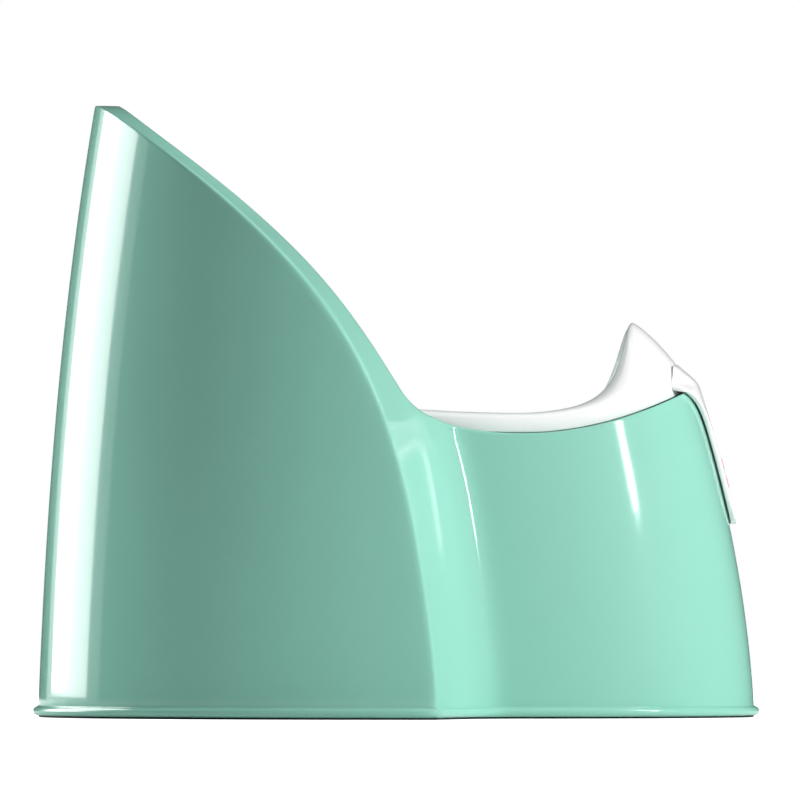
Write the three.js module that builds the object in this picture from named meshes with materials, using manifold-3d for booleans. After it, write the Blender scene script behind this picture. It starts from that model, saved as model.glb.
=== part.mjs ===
// Potty training chair: a moulded chair shell with a high curved back, a lift-out inner potty with a
// splash guard and a grip tongue, a pressed-in mark and two rubber grip strips under the base.
// Millimetres. +X points to the front of the chair, +Y to the child's left, +Z up.
// The origin is the middle of the base, on the floor.
import * as THREE from "three";
import { mergeVertices } from "three/addons/utils/BufferGeometryUtils.js";
import Module from "manifold-3d";

const wasm = await Module();
wasm.setup();

// ---- Driving dimensions ---------------------------------------------------------------------

const LENGTH = 350; // overall, over the foot bead, front to rear
const WIDTH = 310; // overall, over the foot bead, at the wings' front corners
const HEIGHT = 295; // floor to the top of the backrest
const SEAT_LOW = 132.8; // floor to the lowest place of the shell's rim
const FRONT_RIM = 157.9; // floor to the shell's rim at the front centre

const SHELL_WALL = 2.6;
const POTTY_WALL = 2.4;
const POTTY_GAP = 1.2; // between the bowl and the shell's opening, all round
const RIM_GAP = 0.6; // between the potty's rim and the shell under it

const FOOT_BEAD = 2.4; // how far the bead round the foot stands out from the wall
const FOOT_BEAD_HEIGHT = 4.4;
const FOOT_BEAD_INSIDE = 3.6; // how far it reaches inwards from the wall's outer face

const GRIP_WIDTH = 3;
const GRIP_HEIGHT = 2.2;
const GRIP_STANDS_OUT = 0.8; // how far the rubber reaches below the foot bead
const GRIP_GAP = 0.3; // between the rubber and its groove
const GRIP_INSET = 0.4; // from the wall's outer face to the rubber's outer side
const GRIP_ENDS_APART = 8; // at the front and rear, between the two strips

const FRONT_LEDGE = 19.4; // from the opening to the shell's rim, at the front centre
const OPENING_REAR = 94; // the opening's reach from the seat centre
const OPENING_HALF_WIDTH = 69;
const OPENING_LIP = 6; // height of the lip turned down round the opening

const RIM_REACH = 17; // the rolled rim's outer edge stands this far outside the opening
const RIM_INSET = 1.2; // and at least this far inside the shell's rim
const RIM_EASING = 3; // how softly the rim's line turns where its limit begins
const LEDGE_ROOM = 10; // more room for the rim where the backrest rises beside it
const LEDGE_CLIMB = 30; // rise of the shell's rim over which that room grows
const RIM_HEIGHT = 10.2; // crest of the rolled rim above the seat
const RIM_CREST_IN = 7.5; // from the rim's outer edge in to its crest
const POTTY_FLOOR = 21; // top of the bowl's floor above the ground
const FLOOR_SHARE = 0.74; // the bowl's floor against its mouth
const FLOOR_CORNER = 20; // radius where the wall turns into the floor

const GUARD_LIFT = 24; // splash guard's crest above the rolled rim
const GUARD_INWARD = 19; // how far its crest leans in over the bowl
const GUARD_SPREAD = 32; // degrees to each side of the front where its crest has dropped by 2/3
const GUARD_EDGE = 3.4; // half the thickness of its rounded crest

const TONGUE_HALF_WIDTH = 18;
const TONGUE_ROOT_HALF_WIDTH = 39;
const TONGUE_FLARE = 24; // height over which it widens into its root
const TONGUE_REACH = 65; // down from the shell's front rim to its lower end
const TONGUE_THICK = 2.8;
const TONGUE_GAP = 0.8; // between the tongue and the shell's face

const MARK_HALF_WIDTH = 11;
const MARK_BAR = 4.2; // height of each of the mark's two bars
const MARK_PITCH = 8.8; // from one bar to the other
const MARK_DOWN = 36; // from the shell's front rim to the upper bar's middle
const MARK_WAVE = 0.9;
const MARK_DEEP = 0.8; // how far the bars are let into the tongue
const MARK_PROUD = 0.4; // and how far they stand out of it
const MARK_GAP = 0.15;

// Places along the length, measured from the rear end of the foot bead.
const SEAT_CENTRE = 205;
const SADDLE_LOW = 233; // where the rim is lowest
const WING_CORNER = 193.4; // where the wing's crease meets the floor
const DRUM_CENTRE = 190;

// ---- Small helpers --------------------------------------------------------------------------

const clamp = THREE.MathUtils.clamp;
const lerp = THREE.MathUtils.lerp;
const smoothstep = THREE.MathUtils.smoothstep;
const radians = THREE.MathUtils.degToRad;

/** A polynomial through the control values of a Bezier curve, for t from 0 to 1. */
function bezier(values, t) {
  const v = [...values];
  for (let n = v.length - 1; n > 0; n--)
    for (let i = 0; i < n; i++) v[i] = lerp(v[i], v[i + 1], t);
  return v[0];
}

/** The larger of two values, with a round fillet where they are within `blend` of each other. */
function roundedMax(a, b, blend) {
  const near = Math.max(blend - Math.abs(a - b), 0) / blend;
  return Math.max(a, b) + (near * near * blend) / 4;
}

// ---- The chair's outer form -----------------------------------------------------------------
// x runs from the rear end here, w is the half width and z the height.

const REAR_FOOT = FOOT_BEAD;
const REAR_LEAN = 0.036;
const REAR_CURL = 16; // extra forward lean that the back gathers towards its top
const REAR_CURL_POWER = 2.4;
const rearWall = (z) =>
  REAR_FOOT + REAR_LEAN * z + REAR_CURL * (Math.max(z, 0) / HEIGHT) ** REAR_CURL_POWER;

const FRONT_FOOT = LENGTH - FOOT_BEAD;
const FRONT_LEAN = 0.0455;
const FRONT_CROWN = 22;
const CROWN_HEIGHT = 158;
const frontWall = (z) =>
  FRONT_FOOT - FRONT_LEAN * z - FRONT_CROWN * (Math.max(z, 0) / CROWN_HEIGHT) ** 2;

const WING_POWER = 2.4;
const WING_SIDE_LEAN = 0.55; // of the rear wall's lean
const wingHalf = (z) => WIDTH / 2 - FOOT_BEAD - WING_SIDE_LEAN * (rearWall(z) - rearWall(0));

/** Half width of the rear wall. */
function rearHalfWidth(x, z) {
  const r = clamp((WING_CORNER - x) / (WING_CORNER - rearWall(z)), 0, 1);
  return wingHalf(z) * Math.sqrt(Math.max(0, 1 - r ** WING_POWER));
}

/** Where the wing's crease is at a height, seen from the side. */
const CREASE = [WING_CORNER, 193.7, 168.1, 194.9, 99.7, rearWall(HEIGHT)];
const creaseX = (z) => Math.max(bezier(CREASE, clamp(z / HEIGHT, 0, 1)), rearWall(z));

/** Inward run of the wing's face at the crease: half width lost for each millimetre forward. */
const FACE_STEEPEST = 2.6;
function faceSlope(z) {
  const x = creaseX(z);
  const r = clamp((WING_CORNER - x) / (WING_CORNER - rearWall(z)), 0, 1);
  const growth = wingHalf(z) ** 2 * WING_POWER * r ** (WING_POWER - 1);
  const w = rearHalfWidth(x, z);
  return Math.min(FACE_STEEPEST, (2 * (WING_CORNER - rearWall(z)) * w) / Math.max(growth, 1e-6));
}

const DRUM_HALF = 104;
const DRUM_LEAN = 0.03;
const DRUM_CROWN = 13;
const DRUM_ENDS = 2.6; // squareness of the drum's plan, along and across
const DRUM_SIDES = 2.4;
const drumHalf = (z) =>
  DRUM_HALF - DRUM_LEAN * z - DRUM_CROWN * (Math.max(z, 0) / CROWN_HEIGHT) ** 2;

/** Half width of the front drum that carries the seat. */
function drumHalfWidth(x, z) {
  const r = clamp((x - DRUM_CENTRE) / (frontWall(z) - DRUM_CENTRE), 0, 1);
  return drumHalf(z) * (1 - r ** DRUM_ENDS) ** (1 / DRUM_SIDES);
}

/** How far forward the drum's outer face is at a half width and height. */
function drumFace(w, z) {
  const r = clamp(Math.abs(w) / drumHalf(z), 0, 1);
  return DRUM_CENTRE + (frontWall(z) - DRUM_CENTRE) * (1 - r ** DRUM_SIDES) ** (1 / DRUM_ENDS);
}

/** Half width of the face between the crease and the seat's rim, with the drum filleted into it. */
const FACE_FILLET = 34;
const DRUM_FADES = [165, 205]; // heights over which the drum leaves the wing's face alone
const WING_ENDS = 225; // forward of here the wing's face turns in behind the drum's
const WING_TURN = 0.02;
function faceHalfWidth(x, z) {
  const turn = WING_TURN * Math.max(x - WING_ENDS, 0) ** 2;
  const wing = rearHalfWidth(creaseX(z), z) - faceSlope(z) * (x - creaseX(z)) - turn;
  const drum = drumHalfWidth(x, z) * (1 - smoothstep(z, ...DRUM_FADES));
  return Math.max(0, z > DRUM_FADES[1] ? wing : roundedMax(wing, drum, FACE_FILLET));
}

// ---- The rim line, seen from the side ----------------------------------------------------------

const WING_RIM = [185.5, 157.7, 147.8, 77.8, 41.9];
const WING_RIM_FROM = 140;
const wingRimX = (z) => bezier(WING_RIM, (z - WING_RIM_FROM) / (HEIGHT - WING_RIM_FROM));

const FRONT_EDGE = frontWall(FRONT_RIM);
const FRONT_RISE = (FRONT_RIM - SEAT_LOW) / (FRONT_EDGE - SADDLE_LOW) ** 2;
const REAR_RISE = 0.0007;
const ARM_RISE = 0.0015;
const ARM_RISE_POWER = 2.3;
const LEDGE_DROP = 0.2;

/** Height of the shell's rim over the drum and the front of the armrests. */
const rimHeight = (x) =>
  x > SADDLE_LOW
    ? SEAT_LOW + FRONT_RISE * (x - SADDLE_LOW) ** 2
    : SEAT_LOW + ARM_RISE * (SADDLE_LOW - x) ** ARM_RISE_POWER;

/** Height of the seat that the potty's rim lies on. */
const seatHeight = (x) =>
  SEAT_LOW - LEDGE_DROP + (x > SADDLE_LOW ? FRONT_RISE : REAR_RISE) * (x - SADDLE_LOW) ** 2;

const ARM_CORNER = { wing: 153, knee: [181.4, 144.8], drum: 191 };

/** Points [x, z] along the rim from the top of the back to the front centre. */
function rimLine(steps) {
  const line = [];
  for (let i = 0; i < steps; i++) {
    const z = lerp(HEIGHT, ARM_CORNER.wing, i / steps);
    line.push([wingRimX(z), z]);
  }
  const a = [wingRimX(ARM_CORNER.wing), ARM_CORNER.wing];
  const b = [ARM_CORNER.drum, rimHeight(ARM_CORNER.drum)];
  for (let i = 0; i < 12; i++)
    line.push([0, 1].map((k) => bezier([a[k], ARM_CORNER.knee[k], b[k]], i / 12)));
  for (let i = 0; i <= steps; i++) {
    const x = lerp(ARM_CORNER.drum, FRONT_EDGE, Math.sin((i / steps) * (Math.PI / 2)));
    line.push([x, rimHeight(x)]);
  }
  return line;
}

/** A line's points as a function of the distance along it, measured with `length`. */
function alongLine(points, length = (p, q) => Math.hypot(...p.map((v, k) => v - q[k]))) {
  const at = [0];
  for (let i = 1; i < points.length; i++) at.push(at[i - 1] + length(points[i - 1], points[i]));
  const total = at[at.length - 1];
  const point = (s) => {
    let i = 1;
    while (i < at.length - 1 && at[i] < s) i++;
    const t = clamp((s - at[i - 1]) / (at[i] - at[i - 1]), 0, 1);
    return points[i].map((v, k) => lerp(points[i - 1][k], v, t));
  };
  return { total, point, at };
}

// ---- Columns: one for each place round the chair, from the rear centre to the front centre -------
// Each joins a point of the outer boundary, which is the crease and then the drum's foot, to a point
// of the rim, and that to a point of the seat's opening.

const CREASE_COLUMNS = 20;
const FOOT_COLUMNS = 20;
const LEVEL_FROM = 168; // above this height a column runs level from the crease to the rim
const FOOT_Z = GRIP_STANDS_OUT;
const FAN_ENDS_X = 203; // where the last column of the crease meets the rim

function outerBoundary() {
  const crease = [];
  const fine = 300;
  for (let i = 0; i <= fine; i++) {
    // Steps grow from the top, because the crease crosses the centre level there.
    const z = lerp(HEIGHT, FOOT_Z, (i / fine) ** 2);
    crease.push([creaseX(z), z, i === 0 ? 0 : rearHalfWidth(creaseX(z), z)]);
  }
  const creaseLine = alongLine(crease);
  const foot = [];
  const front = frontWall(FOOT_Z);
  for (let i = 0; i <= fine; i++) {
    const x = lerp(creaseX(FOOT_Z), front, Math.sin((i / fine) * (Math.PI / 2)));
    foot.push([x, FOOT_Z, i === fine ? 0 : faceHalfWidth(x, FOOT_Z)]);
  }
  const footLine = alongLine(foot);
  const points = [];
  for (let i = 0; i <= CREASE_COLUMNS; i++)
    points.push(creaseLine.point((creaseLine.total * i) / CREASE_COLUMNS));
  for (let i = 1; i <= FOOT_COLUMNS; i++)
    points.push(footLine.point((footLine.total * i) / FOOT_COLUMNS));
  return points;
}

function rimPoints(outer) {
  const line = rimLine(80);
  const path = alongLine(line.map(([x, z]) => [x, z, faceHalfWidth(x, z)]));
  const whereX = (x) => path.at[line.findIndex((p) => p[0] >= x)];
  const points = [];
  let lastLevel = 0;
  let lastAt = 0;
  outer.forEach(([, z], i) => {
    if (z >= LEVEL_FROM && i < CREASE_COLUMNS) {
      points.push([wingRimX(z), z, i === 0 ? 0 : faceHalfWidth(wingRimX(z), z)]);
      lastLevel = i;
      lastAt = path.at[line.findIndex((p) => p[1] <= z)];
    }
  });
  const fanEnd = whereX(FAN_ENDS_X);
  for (let i = lastLevel + 1; i <= CREASE_COLUMNS; i++) {
    const t = (i - lastLevel) / (CREASE_COLUMNS - lastLevel);
    points.push(path.point(lerp(lastAt, fanEnd, t)));
  }
  for (let i = 1; i <= FOOT_COLUMNS; i++)
    points.push(path.point(lerp(fanEnd, path.total, i / FOOT_COLUMNS)));
  points[points.length - 1][2] = 0;
  return points;
}

/** Distance from the seat centre to a closed egg-shaped line, in the direction of an angle. */
function eggRadius(angle, front, rear, side, power) {
  const c = Math.abs(Math.cos(angle)) / (Math.cos(angle) > 0 ? front : rear);
  const s = Math.abs(Math.sin(angle)) / side;
  return (c ** power + s ** power) ** (-1 / power);
}

const OPENING_POWER = 2.3;
const OPENING_FRONT = FRONT_EDGE - SEAT_CENTRE - FRONT_LEDGE;
const openingRadius = (angle) =>
  eggRadius(angle, OPENING_FRONT, OPENING_REAR, OPENING_HALF_WIDTH, OPENING_POWER);

const outer = outerBoundary();
const rim = rimPoints(outer);
const COLUMNS = outer.length;
const angles = rim.map(([x, , w], i) => (i === 0 ? Math.PI : Math.atan2(w, x - SEAT_CENTRE)));

/** Across the face from the outer boundary to the rim. */
function facePoint(i, t) {
  const [x0, z0, w0] = outer[i];
  const [x1, z1, w1] = rim[i];
  if (t === 0) return [x0, w0, z0];
  if (t === 1) return [x1, w1, z1];
  const z = lerp(z0, z1, t);
  const share = (x, h) => (x - DRUM_CENTRE) / (frontWall(h) - DRUM_CENTRE);
  const x = DRUM_CENTRE + lerp(share(x0, z0), share(x1, z1), t) * (frontWall(z) - DRUM_CENTRE);
  return [x, w0 === 0 && w1 === 0 ? 0 : faceHalfWidth(x, z), z];
}

const LEDGE_REACH = RIM_REACH + 1.4; // the level ledge round the opening that the potty lies on
const LEDGE_EDGE = 4.5; // the ledge stops this far inside the shell's rim, where that is nearer

/**
 * From the rim down the backrest to the ledge (t from 0 to 1), and across the ledge to the opening
 * (t from 1 to 2).
 */
function seatPoint(i, t) {
  const [x0, z0, w0] = rim[i];
  const angle = angles[i];
  const onCentre = i === 0 || i === COLUMNS - 1;
  const mouth = openingRadius(angle);
  const rimAway = Math.hypot(x0 - SEAT_CENTRE, w0);
  const ledge = mouth + Math.min(LEDGE_REACH, rimAway - mouth - LEDGE_EDGE);
  const place = (r) => [
    SEAT_CENTRE + r * Math.cos(angle),
    onCentre ? 0 : r * Math.sin(angle),
    seatHeight(SEAT_CENTRE + r * Math.cos(angle)),
  ];
  if (t >= 1) return place(lerp(ledge, mouth, t - 1));
  const [x1, w1, z1] = place(ledge);
  const drop = z0 - z1;
  const run = rimAway - ledge;
  const steep = drop ** 2 / (drop ** 2 + run ** 2);
  const across = bezier([0, lerp(0.33, 0.1, steep), 1 - lerp(0.33, 0.62, steep), 1], t);
  const down = bezier([0, lerp(0.33, 0.55, steep), 1 - lerp(0.1, 0.02, steep), 1], t);
  return [lerp(x0, x1, across), lerp(w0, w1, across), z0 - drop * down];
}

// ---- Sheets: a surface as points and four-sided faces, which are then given a thickness ----------

class Sheet {
  constructor() {
    this.points = [];
    this.faces = [];
  }

  /** Adds a grid of points [x, w, z], as rows of columns, and its mirror image. */
  addGrid(grid) {
    for (const side of [1, -1]) {
      const first = this.points.length;
      const across = grid[0].length;
      for (const row of grid)
        for (const [x, w, z] of row) this.points.push([x - LENGTH / 2, side * w, z]);
      for (let r = 0; r + 1 < grid.length; r++)
        for (let c = 0; c + 1 < across; c++) {
          const a = first + r * across + c;
          const quad = [a, a + 1, a + across + 1, a + across];
          this.faces.push(side > 0 ? quad : quad.reverse());
        }
    }
  }

  /** Points within a hundredth of a millimetre become one, and faces that close up are dropped. */
  welded() {
    const geometry = new THREE.BufferGeometry();
    geometry.setAttribute("position", new THREE.Float32BufferAttribute(this.points.flat(), 3));
    geometry.setIndex(this.points.map((_, i) => i));
    const merged = mergeVertices(geometry, 1e-2);
    const points = [];
    for (let i = 0; i < merged.attributes.position.count; i++)
      points.push(new THREE.Vector3().fromBufferAttribute(merged.attributes.position, i));
    const to = Array.from(merged.index.array);
    const triangles = [];
    const add = (a, b, c) => {
      if (a !== b && b !== c && c !== a) triangles.push([a, b, c]);
    };
    for (const face of this.faces) {
      const [a, b, c, d] = face.map((i) => to[i]);
      const short = points[a].distanceTo(points[c]) <= points[b].distanceTo(points[d]);
      if (short) {
        add(a, b, c);
        add(a, c, d);
      } else {
        add(a, b, d);
        add(b, c, d);
      }
    }
    return { points, triangles };
  }

  /** A closed solid: this surface, a copy set back behind it by `wall`, and the edges between. */
  thickened(wall) {
    const { points, triangles } = this.welded();
    const normals = points.map(() => []);
    for (const [a, b, c] of triangles) {
      const n = new THREE.Triangle(points[a], points[b], points[c]).getNormal(new THREE.Vector3());
      for (const i of [a, b, c]) normals[i].push(n);
    }
    const back = points.map((p, i) => p.clone().addScaledVector(mitre(normals[i]), -wall));
    const count = points.length;
    const indices = [];
    const edges = new Set(triangles.flatMap(([a, b, c]) => [a + "," + b, b + "," + c, c + "," + a]));
    for (const [a, b, c] of triangles) {
      indices.push(a, b, c, a + count, c + count, b + count);
      for (const [p, q] of [[a, b], [b, c], [c, a]])
        if (!edges.has(q + "," + p)) indices.push(p, p + count, q, q, p + count, q + count);
    }
    return solidFrom([...points, ...back], indices);
  }
}

/** The vector that is one unit in front of every face round a point, as nearly as can be. */
function mitre(normals) {
  const sum = normals.reduce((s, n) => s.add(n), new THREE.Vector3()).normalize();
  const least = Math.min(...normals.map((n) => n.dot(sum)));
  return sum.multiplyScalar(1 / Math.max(least, 0.62));
}

function solidFrom(points, indices) {
  return new wasm.Manifold(
    new wasm.Mesh({
      numProp: 3,
      vertProperties: new Float32Array(points.flatMap((p) => [p.x, p.y, p.z])),
      triVerts: new Uint32Array(indices),
    }),
  );
}

/** A ring of one cross-section carried along a line of stations, each a function of [out, up]. */
function sweptSolid(stations, section, closed) {
  const points = [];
  const indices = [];
  const n = section.length;
  for (const station of stations)
    for (const [out, up] of section) points.push(station(out, up));
  const spans = closed ? stations.length : stations.length - 1;
  for (let s = 0; s < spans; s++)
    for (let k = 0; k < n; k++) {
      const a = s * n + k;
      const b = s * n + ((k + 1) % n);
      const c = ((s + 1) % stations.length) * n + k;
      const d = ((s + 1) % stations.length) * n + ((k + 1) % n);
      indices.push(a, b, c, b, d, c);
    }
  if (!closed)
    for (let k = 1; k + 1 < n; k++) {
      const last = (stations.length - 1) * n;
      indices.push(0, k + 1, k, last, last + k, last + k + 1);
    }
  return solidFrom(points, indices);
}

function meshOf(name, solid, material) {
  const { vertProperties, triVerts } = solid.getMesh();
  const geometry = new THREE.BufferGeometry();
  geometry.setAttribute("position", new THREE.BufferAttribute(vertProperties, 3));
  geometry.setIndex(new THREE.BufferAttribute(triVerts, 1));
  geometry.computeVertexNormals();
  const mesh = new THREE.Mesh(geometry, material);
  mesh.name = name;
  return mesh;
}

// ---- The foot line and what follows it ---------------------------------------------------------

/** Half of the foot's outline as [x, w], from the rear centre to the front centre. */
function footLine() {
  const rear = [];
  const fine = 200;
  const corner = outer[CREASE_COLUMNS];
  for (let i = 0; i <= fine; i++) {
    const angle = (i / fine) * (Math.PI / 2);
    const x = WING_CORNER - (WING_CORNER - rearWall(FOOT_Z)) * Math.cos(angle) ** (2 / WING_POWER);
    if (x < corner[0]) rear.push([x, wingHalf(FOOT_Z) * Math.sin(angle)]);
  }
  const line = alongLine([...rear, [corner[0], corner[2]]]);
  const front = outer.slice(CREASE_COLUMNS + 1).map(([x, , w]) => [x, w]);
  const points = [];
  for (let i = 0; i <= REAR_COLUMNS; i++) points.push(line.point((line.total * i) / REAR_COLUMNS));
  return [...points, ...front];
}

const REAR_COLUMNS = 16;

/** Stations along the foot's outline: each gives a point from its distance outwards and height. */
function footStations(half, keep = () => true) {
  const stations = [];
  half.forEach(([x, w], i) => {
    const before = half[i - 1] ?? [half[1][0], -half[1][1]];
    const after = half[i + 1] ?? [half[i - 1][0], -half[i - 1][1]];
    const legs = [[before, [x, w]], [[x, w], after]].map(([p, q]) =>
      new THREE.Vector2(-(q[1] - p[1]), q[0] - p[0]).normalize(),
    );
    const normal = legs[0].clone().add(legs[1]).normalize();
    const stretch = 1 / Math.max(normal.dot(legs[0]), 0.5);
    if (keep(x, w))
      stations.push(
        (out, up) =>
          new THREE.Vector3(
            x - LENGTH / 2 + normal.x * out * stretch,
            w + normal.y * out * stretch,
            up,
          ),
      );
  });
  return stations;
}

/** The other half's stations, in the order that carries on round the foot. */
const mirrored = (stations) =>
  [...stations].reverse().map((station) => (out, up) => {
    const p = station(out, up);
    return new THREE.Vector3(p.x, -p.y, p.z);
  });

/** A round-nosed bead's section as [out, up], anticlockwise. */
function beadSection() {
  const section = [[-FOOT_BEAD_INSIDE, FOOT_Z]];
  const r = FOOT_BEAD_HEIGHT / 2;
  for (let i = 0; i <= 4; i++) {
    const a = radians(-90 + 45 * i);
    section.push([FOOT_BEAD - r + r * Math.cos(a), FOOT_Z + r + r * Math.sin(a)]);
  }
  section.push([-FOOT_BEAD_INSIDE, FOOT_Z + FOOT_BEAD_HEIGHT]);
  return section;
}

const gripSection = (gap) => {
  const outside = -GRIP_INSET + gap;
  const inside = -GRIP_INSET - GRIP_WIDTH - gap;
  return [
    [inside, 0 - gap],
    [outside, 0 - gap],
    [outside, GRIP_HEIGHT + gap],
    [inside, GRIP_HEIGHT + gap],
  ];
};

// ---- Pieces ------------------------------------------------------------------------------------

const foot = footLine();
const halfRing = footStations(foot);

/** Stations of the left strip, from half the ends' distance off the centre line, less a gap. */
function gripStations(gap) {
  const start = GRIP_ENDS_APART / 2 - gap;
  const line = [];
  foot.forEach(([x, w], i) => {
    const [x0, w0] = foot[i - 1] ?? [x, w];
    if (w0 < start !== w < start) {
      const t = (start - w0) / (w - w0);
      line.push([lerp(x0, x, t), start]);
    }
    line.push([x, w]);
  });
  return footStations(line, (x, w) => w >= start - 1e-6);
}

/** The chair: rear wall, wing faces, drum, rim, backrest and ledge in one wall, with a foot bead. */
function chairShell() {
  const sheet = new Sheet();
  const rows = [];
  for (let i = 0; i <= CREASE_COLUMNS; i++) {
    const [x, z, w] = outer[i];
    const end = Math.asin(clamp(w / wingHalf(z), 0, 1));
    const row = [];
    for (let c = 0; c <= REAR_COLUMNS; c++) {
      const angle = (end * c) / REAR_COLUMNS;
      const at = WING_CORNER - (WING_CORNER - rearWall(z)) * Math.cos(angle) ** (2 / WING_POWER);
      row.push(c === REAR_COLUMNS ? [x, w, z] : [at, wingHalf(z) * Math.sin(angle), z]);
    }
    rows.push(row);
  }
  rows[CREASE_COLUMNS] = foot.slice(0, REAR_COLUMNS + 1).map(([x, w]) => [x, w, FOOT_Z]);
  sheet.addGrid(rows.map((row) => [...row].reverse()).reverse());

  const acrossFace = [0, 0.14, 0.31, 0.5, 0.69, 0.86, 1];
  sheet.addGrid(outer.map((_, i) => acrossFace.map((t) => facePoint(i, t))));
  const downSeat = [0, 0.17, 0.36, 0.55, 0.72, 0.87, 1, 1.5, 2];
  sheet.addGrid(outer.map((_, i) => downSeat.map((t) => seatPoint(i, t))));
  sheet.addGrid(
    outer.map((_, i) => {
      const [x, w, z] = seatPoint(i, 2);
      return [[x, w, z], [x, w, z - OPENING_LIP]];
    }),
  );

  const ring = [...halfRing, ...mirrored(halfRing.slice(1, -1))];
  const bead = sweptSolid(ring, beadSection(), true);
  let solid = sheet.thickened(SHELL_WALL).add(bead);
  for (const groove of gripLengths(GRIP_GAP)) solid = solid.subtract(groove);
  return solid;
}

/** The left and right rubber strips, or with a gap the grooves that hold them. */
function gripLengths(gap) {
  const left = sweptSolid(gripStations(gap), gripSection(gap), false);
  return [left, left.mirror([0, 1, 0])];
}

// ---- The inner potty -----------------------------------------------------------------------------

const POTTY_COLUMNS = 26;

/** How far the potty's rim must stay inside the shell's rim: more where that rises steeply. */
function rimInset([x, z]) {
  const above = clamp((z - seatHeight(x) - LEDGE_DROP) / LEDGE_CLIMB, 0, 1);
  return RIM_INSET + above * (LEDGE_EDGE + LEDGE_ROOM);
}

/** The furthest that the potty's rim may reach from the seat centre in a direction. */
function rimLimit(angle) {
  let i = 1;
  while (i < COLUMNS - 1 && angles[i] > angle) i++;
  const reach = (k) =>
    k === 0 ? 1e3 : Math.hypot(rim[k][0] - SEAT_CENTRE, rim[k][2]) - rimInset(rim[k]);
  const t = clamp((angles[i - 1] - angle) / (angles[i - 1] - angles[i]), 0, 1);
  return lerp(reach(i - 1), reach(i), t);
}

/** Distance from the seat centre to the rim's outer edge, eased where the backrest limits it. */
const rimRadius = (angle) =>
  -roundedMax(-(openingRadius(angle) + RIM_REACH), -rimLimit(angle), RIM_EASING);

/** How much of the splash guard stands at an angle from the front, from 0 to 1. */
const guardShare = (angle) => Math.exp(-((Math.abs(angle) / radians(GUARD_SPREAD)) ** 3.3));

/** Half the thickness of the rim's rounded crest at an angle. */
const crestShoulder = (angle) => lerp(5, GUARD_EDGE, guardShare(angle));

/** Control points [inwards, up] of the rim's outer side at an angle. */
function rimOuterSide(angle) {
  const share = guardShare(angle);
  const crestIn = RIM_CREST_IN + GUARD_INWARD * share;
  const crestUp = RIM_HEIGHT + GUARD_LIFT * share;
  return [
    [0, RIM_GAP + 1.6],
    [0, lerp(8.4, 12, share)],
    [crestIn - crestShoulder(angle), crestUp],
    [crestIn, crestUp],
  ];
}

/** The potty's upper surface at an angle, as points [x, w, z] from the rim's edge to the floor. */
function pottyColumn(angle) {
  const outside = rimRadius(angle);
  const mouth = openingRadius(angle) - POTTY_GAP - POTTY_WALL;
  const share = guardShare(angle);
  const shoulder = crestShoulder(angle);
  const seat = (r) => seatHeight(SEAT_CENTRE + r * Math.cos(angle));
  const inner = outside - mouth;
  const section = [[0, RIM_GAP]];
  const outerSide = rimOuterSide(angle);
  const [crestIn, crestUp] = outerSide[3];
  const innerSide = [
    [crestIn, crestUp],
    [crestIn + shoulder * 1.2, crestUp],
    [inner + 6 * share, lerp(7.5, 14, share)],
    [inner, -2],
  ];
  for (const side of [outerSide, innerSide])
    for (let i = side === outerSide ? 0 : 1; i <= 6; i++)
      section.push([0, 1].map((k) => bezier(side.map((p) => p[k]), i / 6)));
  const points = section.map(([inward, up]) => [outside - inward, seat(outside) + up]);
  const [top] = points.slice(-1).map(([, z]) => z);
  const foot = mouth * FLOOR_SHARE;
  const wall = [[mouth, top], [foot, POTTY_FLOOR]];
  const corner = FLOOR_CORNER / (top - POTTY_FLOOR);
  const at = (t) => [0, 1].map((k) => lerp(wall[0][k], wall[1][k], t));
  for (const t of [0.3, 0.62]) points.push(at(t));
  const bend = [at(1 - corner), wall[1], [foot - FLOOR_CORNER * 0.8, POTTY_FLOOR]];
  for (let i = 0; i <= 4; i++)
    points.push([0, 1].map((k) => bezier(bend.map((p) => p[k]), i / 4)));
  points.push([(foot - FLOOR_CORNER * 0.8) / 2, POTTY_FLOOR], [0, POTTY_FLOOR]);
  const onCentre = Math.abs(Math.sin(angle)) < 1e-9;
  return points.map(([r, z]) => [
    SEAT_CENTRE + r * Math.cos(angle),
    onCentre ? 0 : r * Math.sin(angle),
    z,
  ]);
}

/** Where the shell's front rim is at a half width: its place along the chair and its height. */
function frontRim(w) {
  let z = SEAT_LOW;
  for (let i = 0; i < 12; i++) z = rimHeight(drumFace(w, z));
  return [drumFace(w, z), z];
}

/** Tongue's half width at a distance below the front rim. */
function tongueHalf(down) {
  const flare = 1 - clamp(down / TONGUE_FLARE, 0, 1);
  const root = TONGUE_HALF_WIDTH + (TONGUE_ROOT_HALF_WIDTH - TONGUE_HALF_WIDTH) * flare ** 2.2;
  const end = clamp((down - (TONGUE_REACH - TONGUE_HALF_WIDTH)) / TONGUE_HALF_WIDTH, 0, 1);
  return root * (1 - end ** 2.4) ** (1 / 2.4);
}

const ROOT_HEIGHT = RIM_HEIGHT + 2; // the tongue's root runs this far up the rim's outer side
const ROOT_SUNK = 0.35; // and ends this far inside it

/** How far forward the rim's outer side is at a half width and a height above the ledge. */
function rimSide(w, up) {
  const [edge] = frontRim(w);
  const angle = Math.abs(Math.atan2(w, edge - SEAT_CENTRE));
  const side = rimOuterSide(angle);
  let t = 0;
  while (t < 1 && bezier(side.map((p) => p[1]), t) < up) t += 0.01;
  const radius = rimRadius(angle) - bezier(side.map((p) => p[0]), t);
  return SEAT_CENTRE + Math.sqrt(Math.max(radius ** 2 - w ** 2, 0));
}

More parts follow.
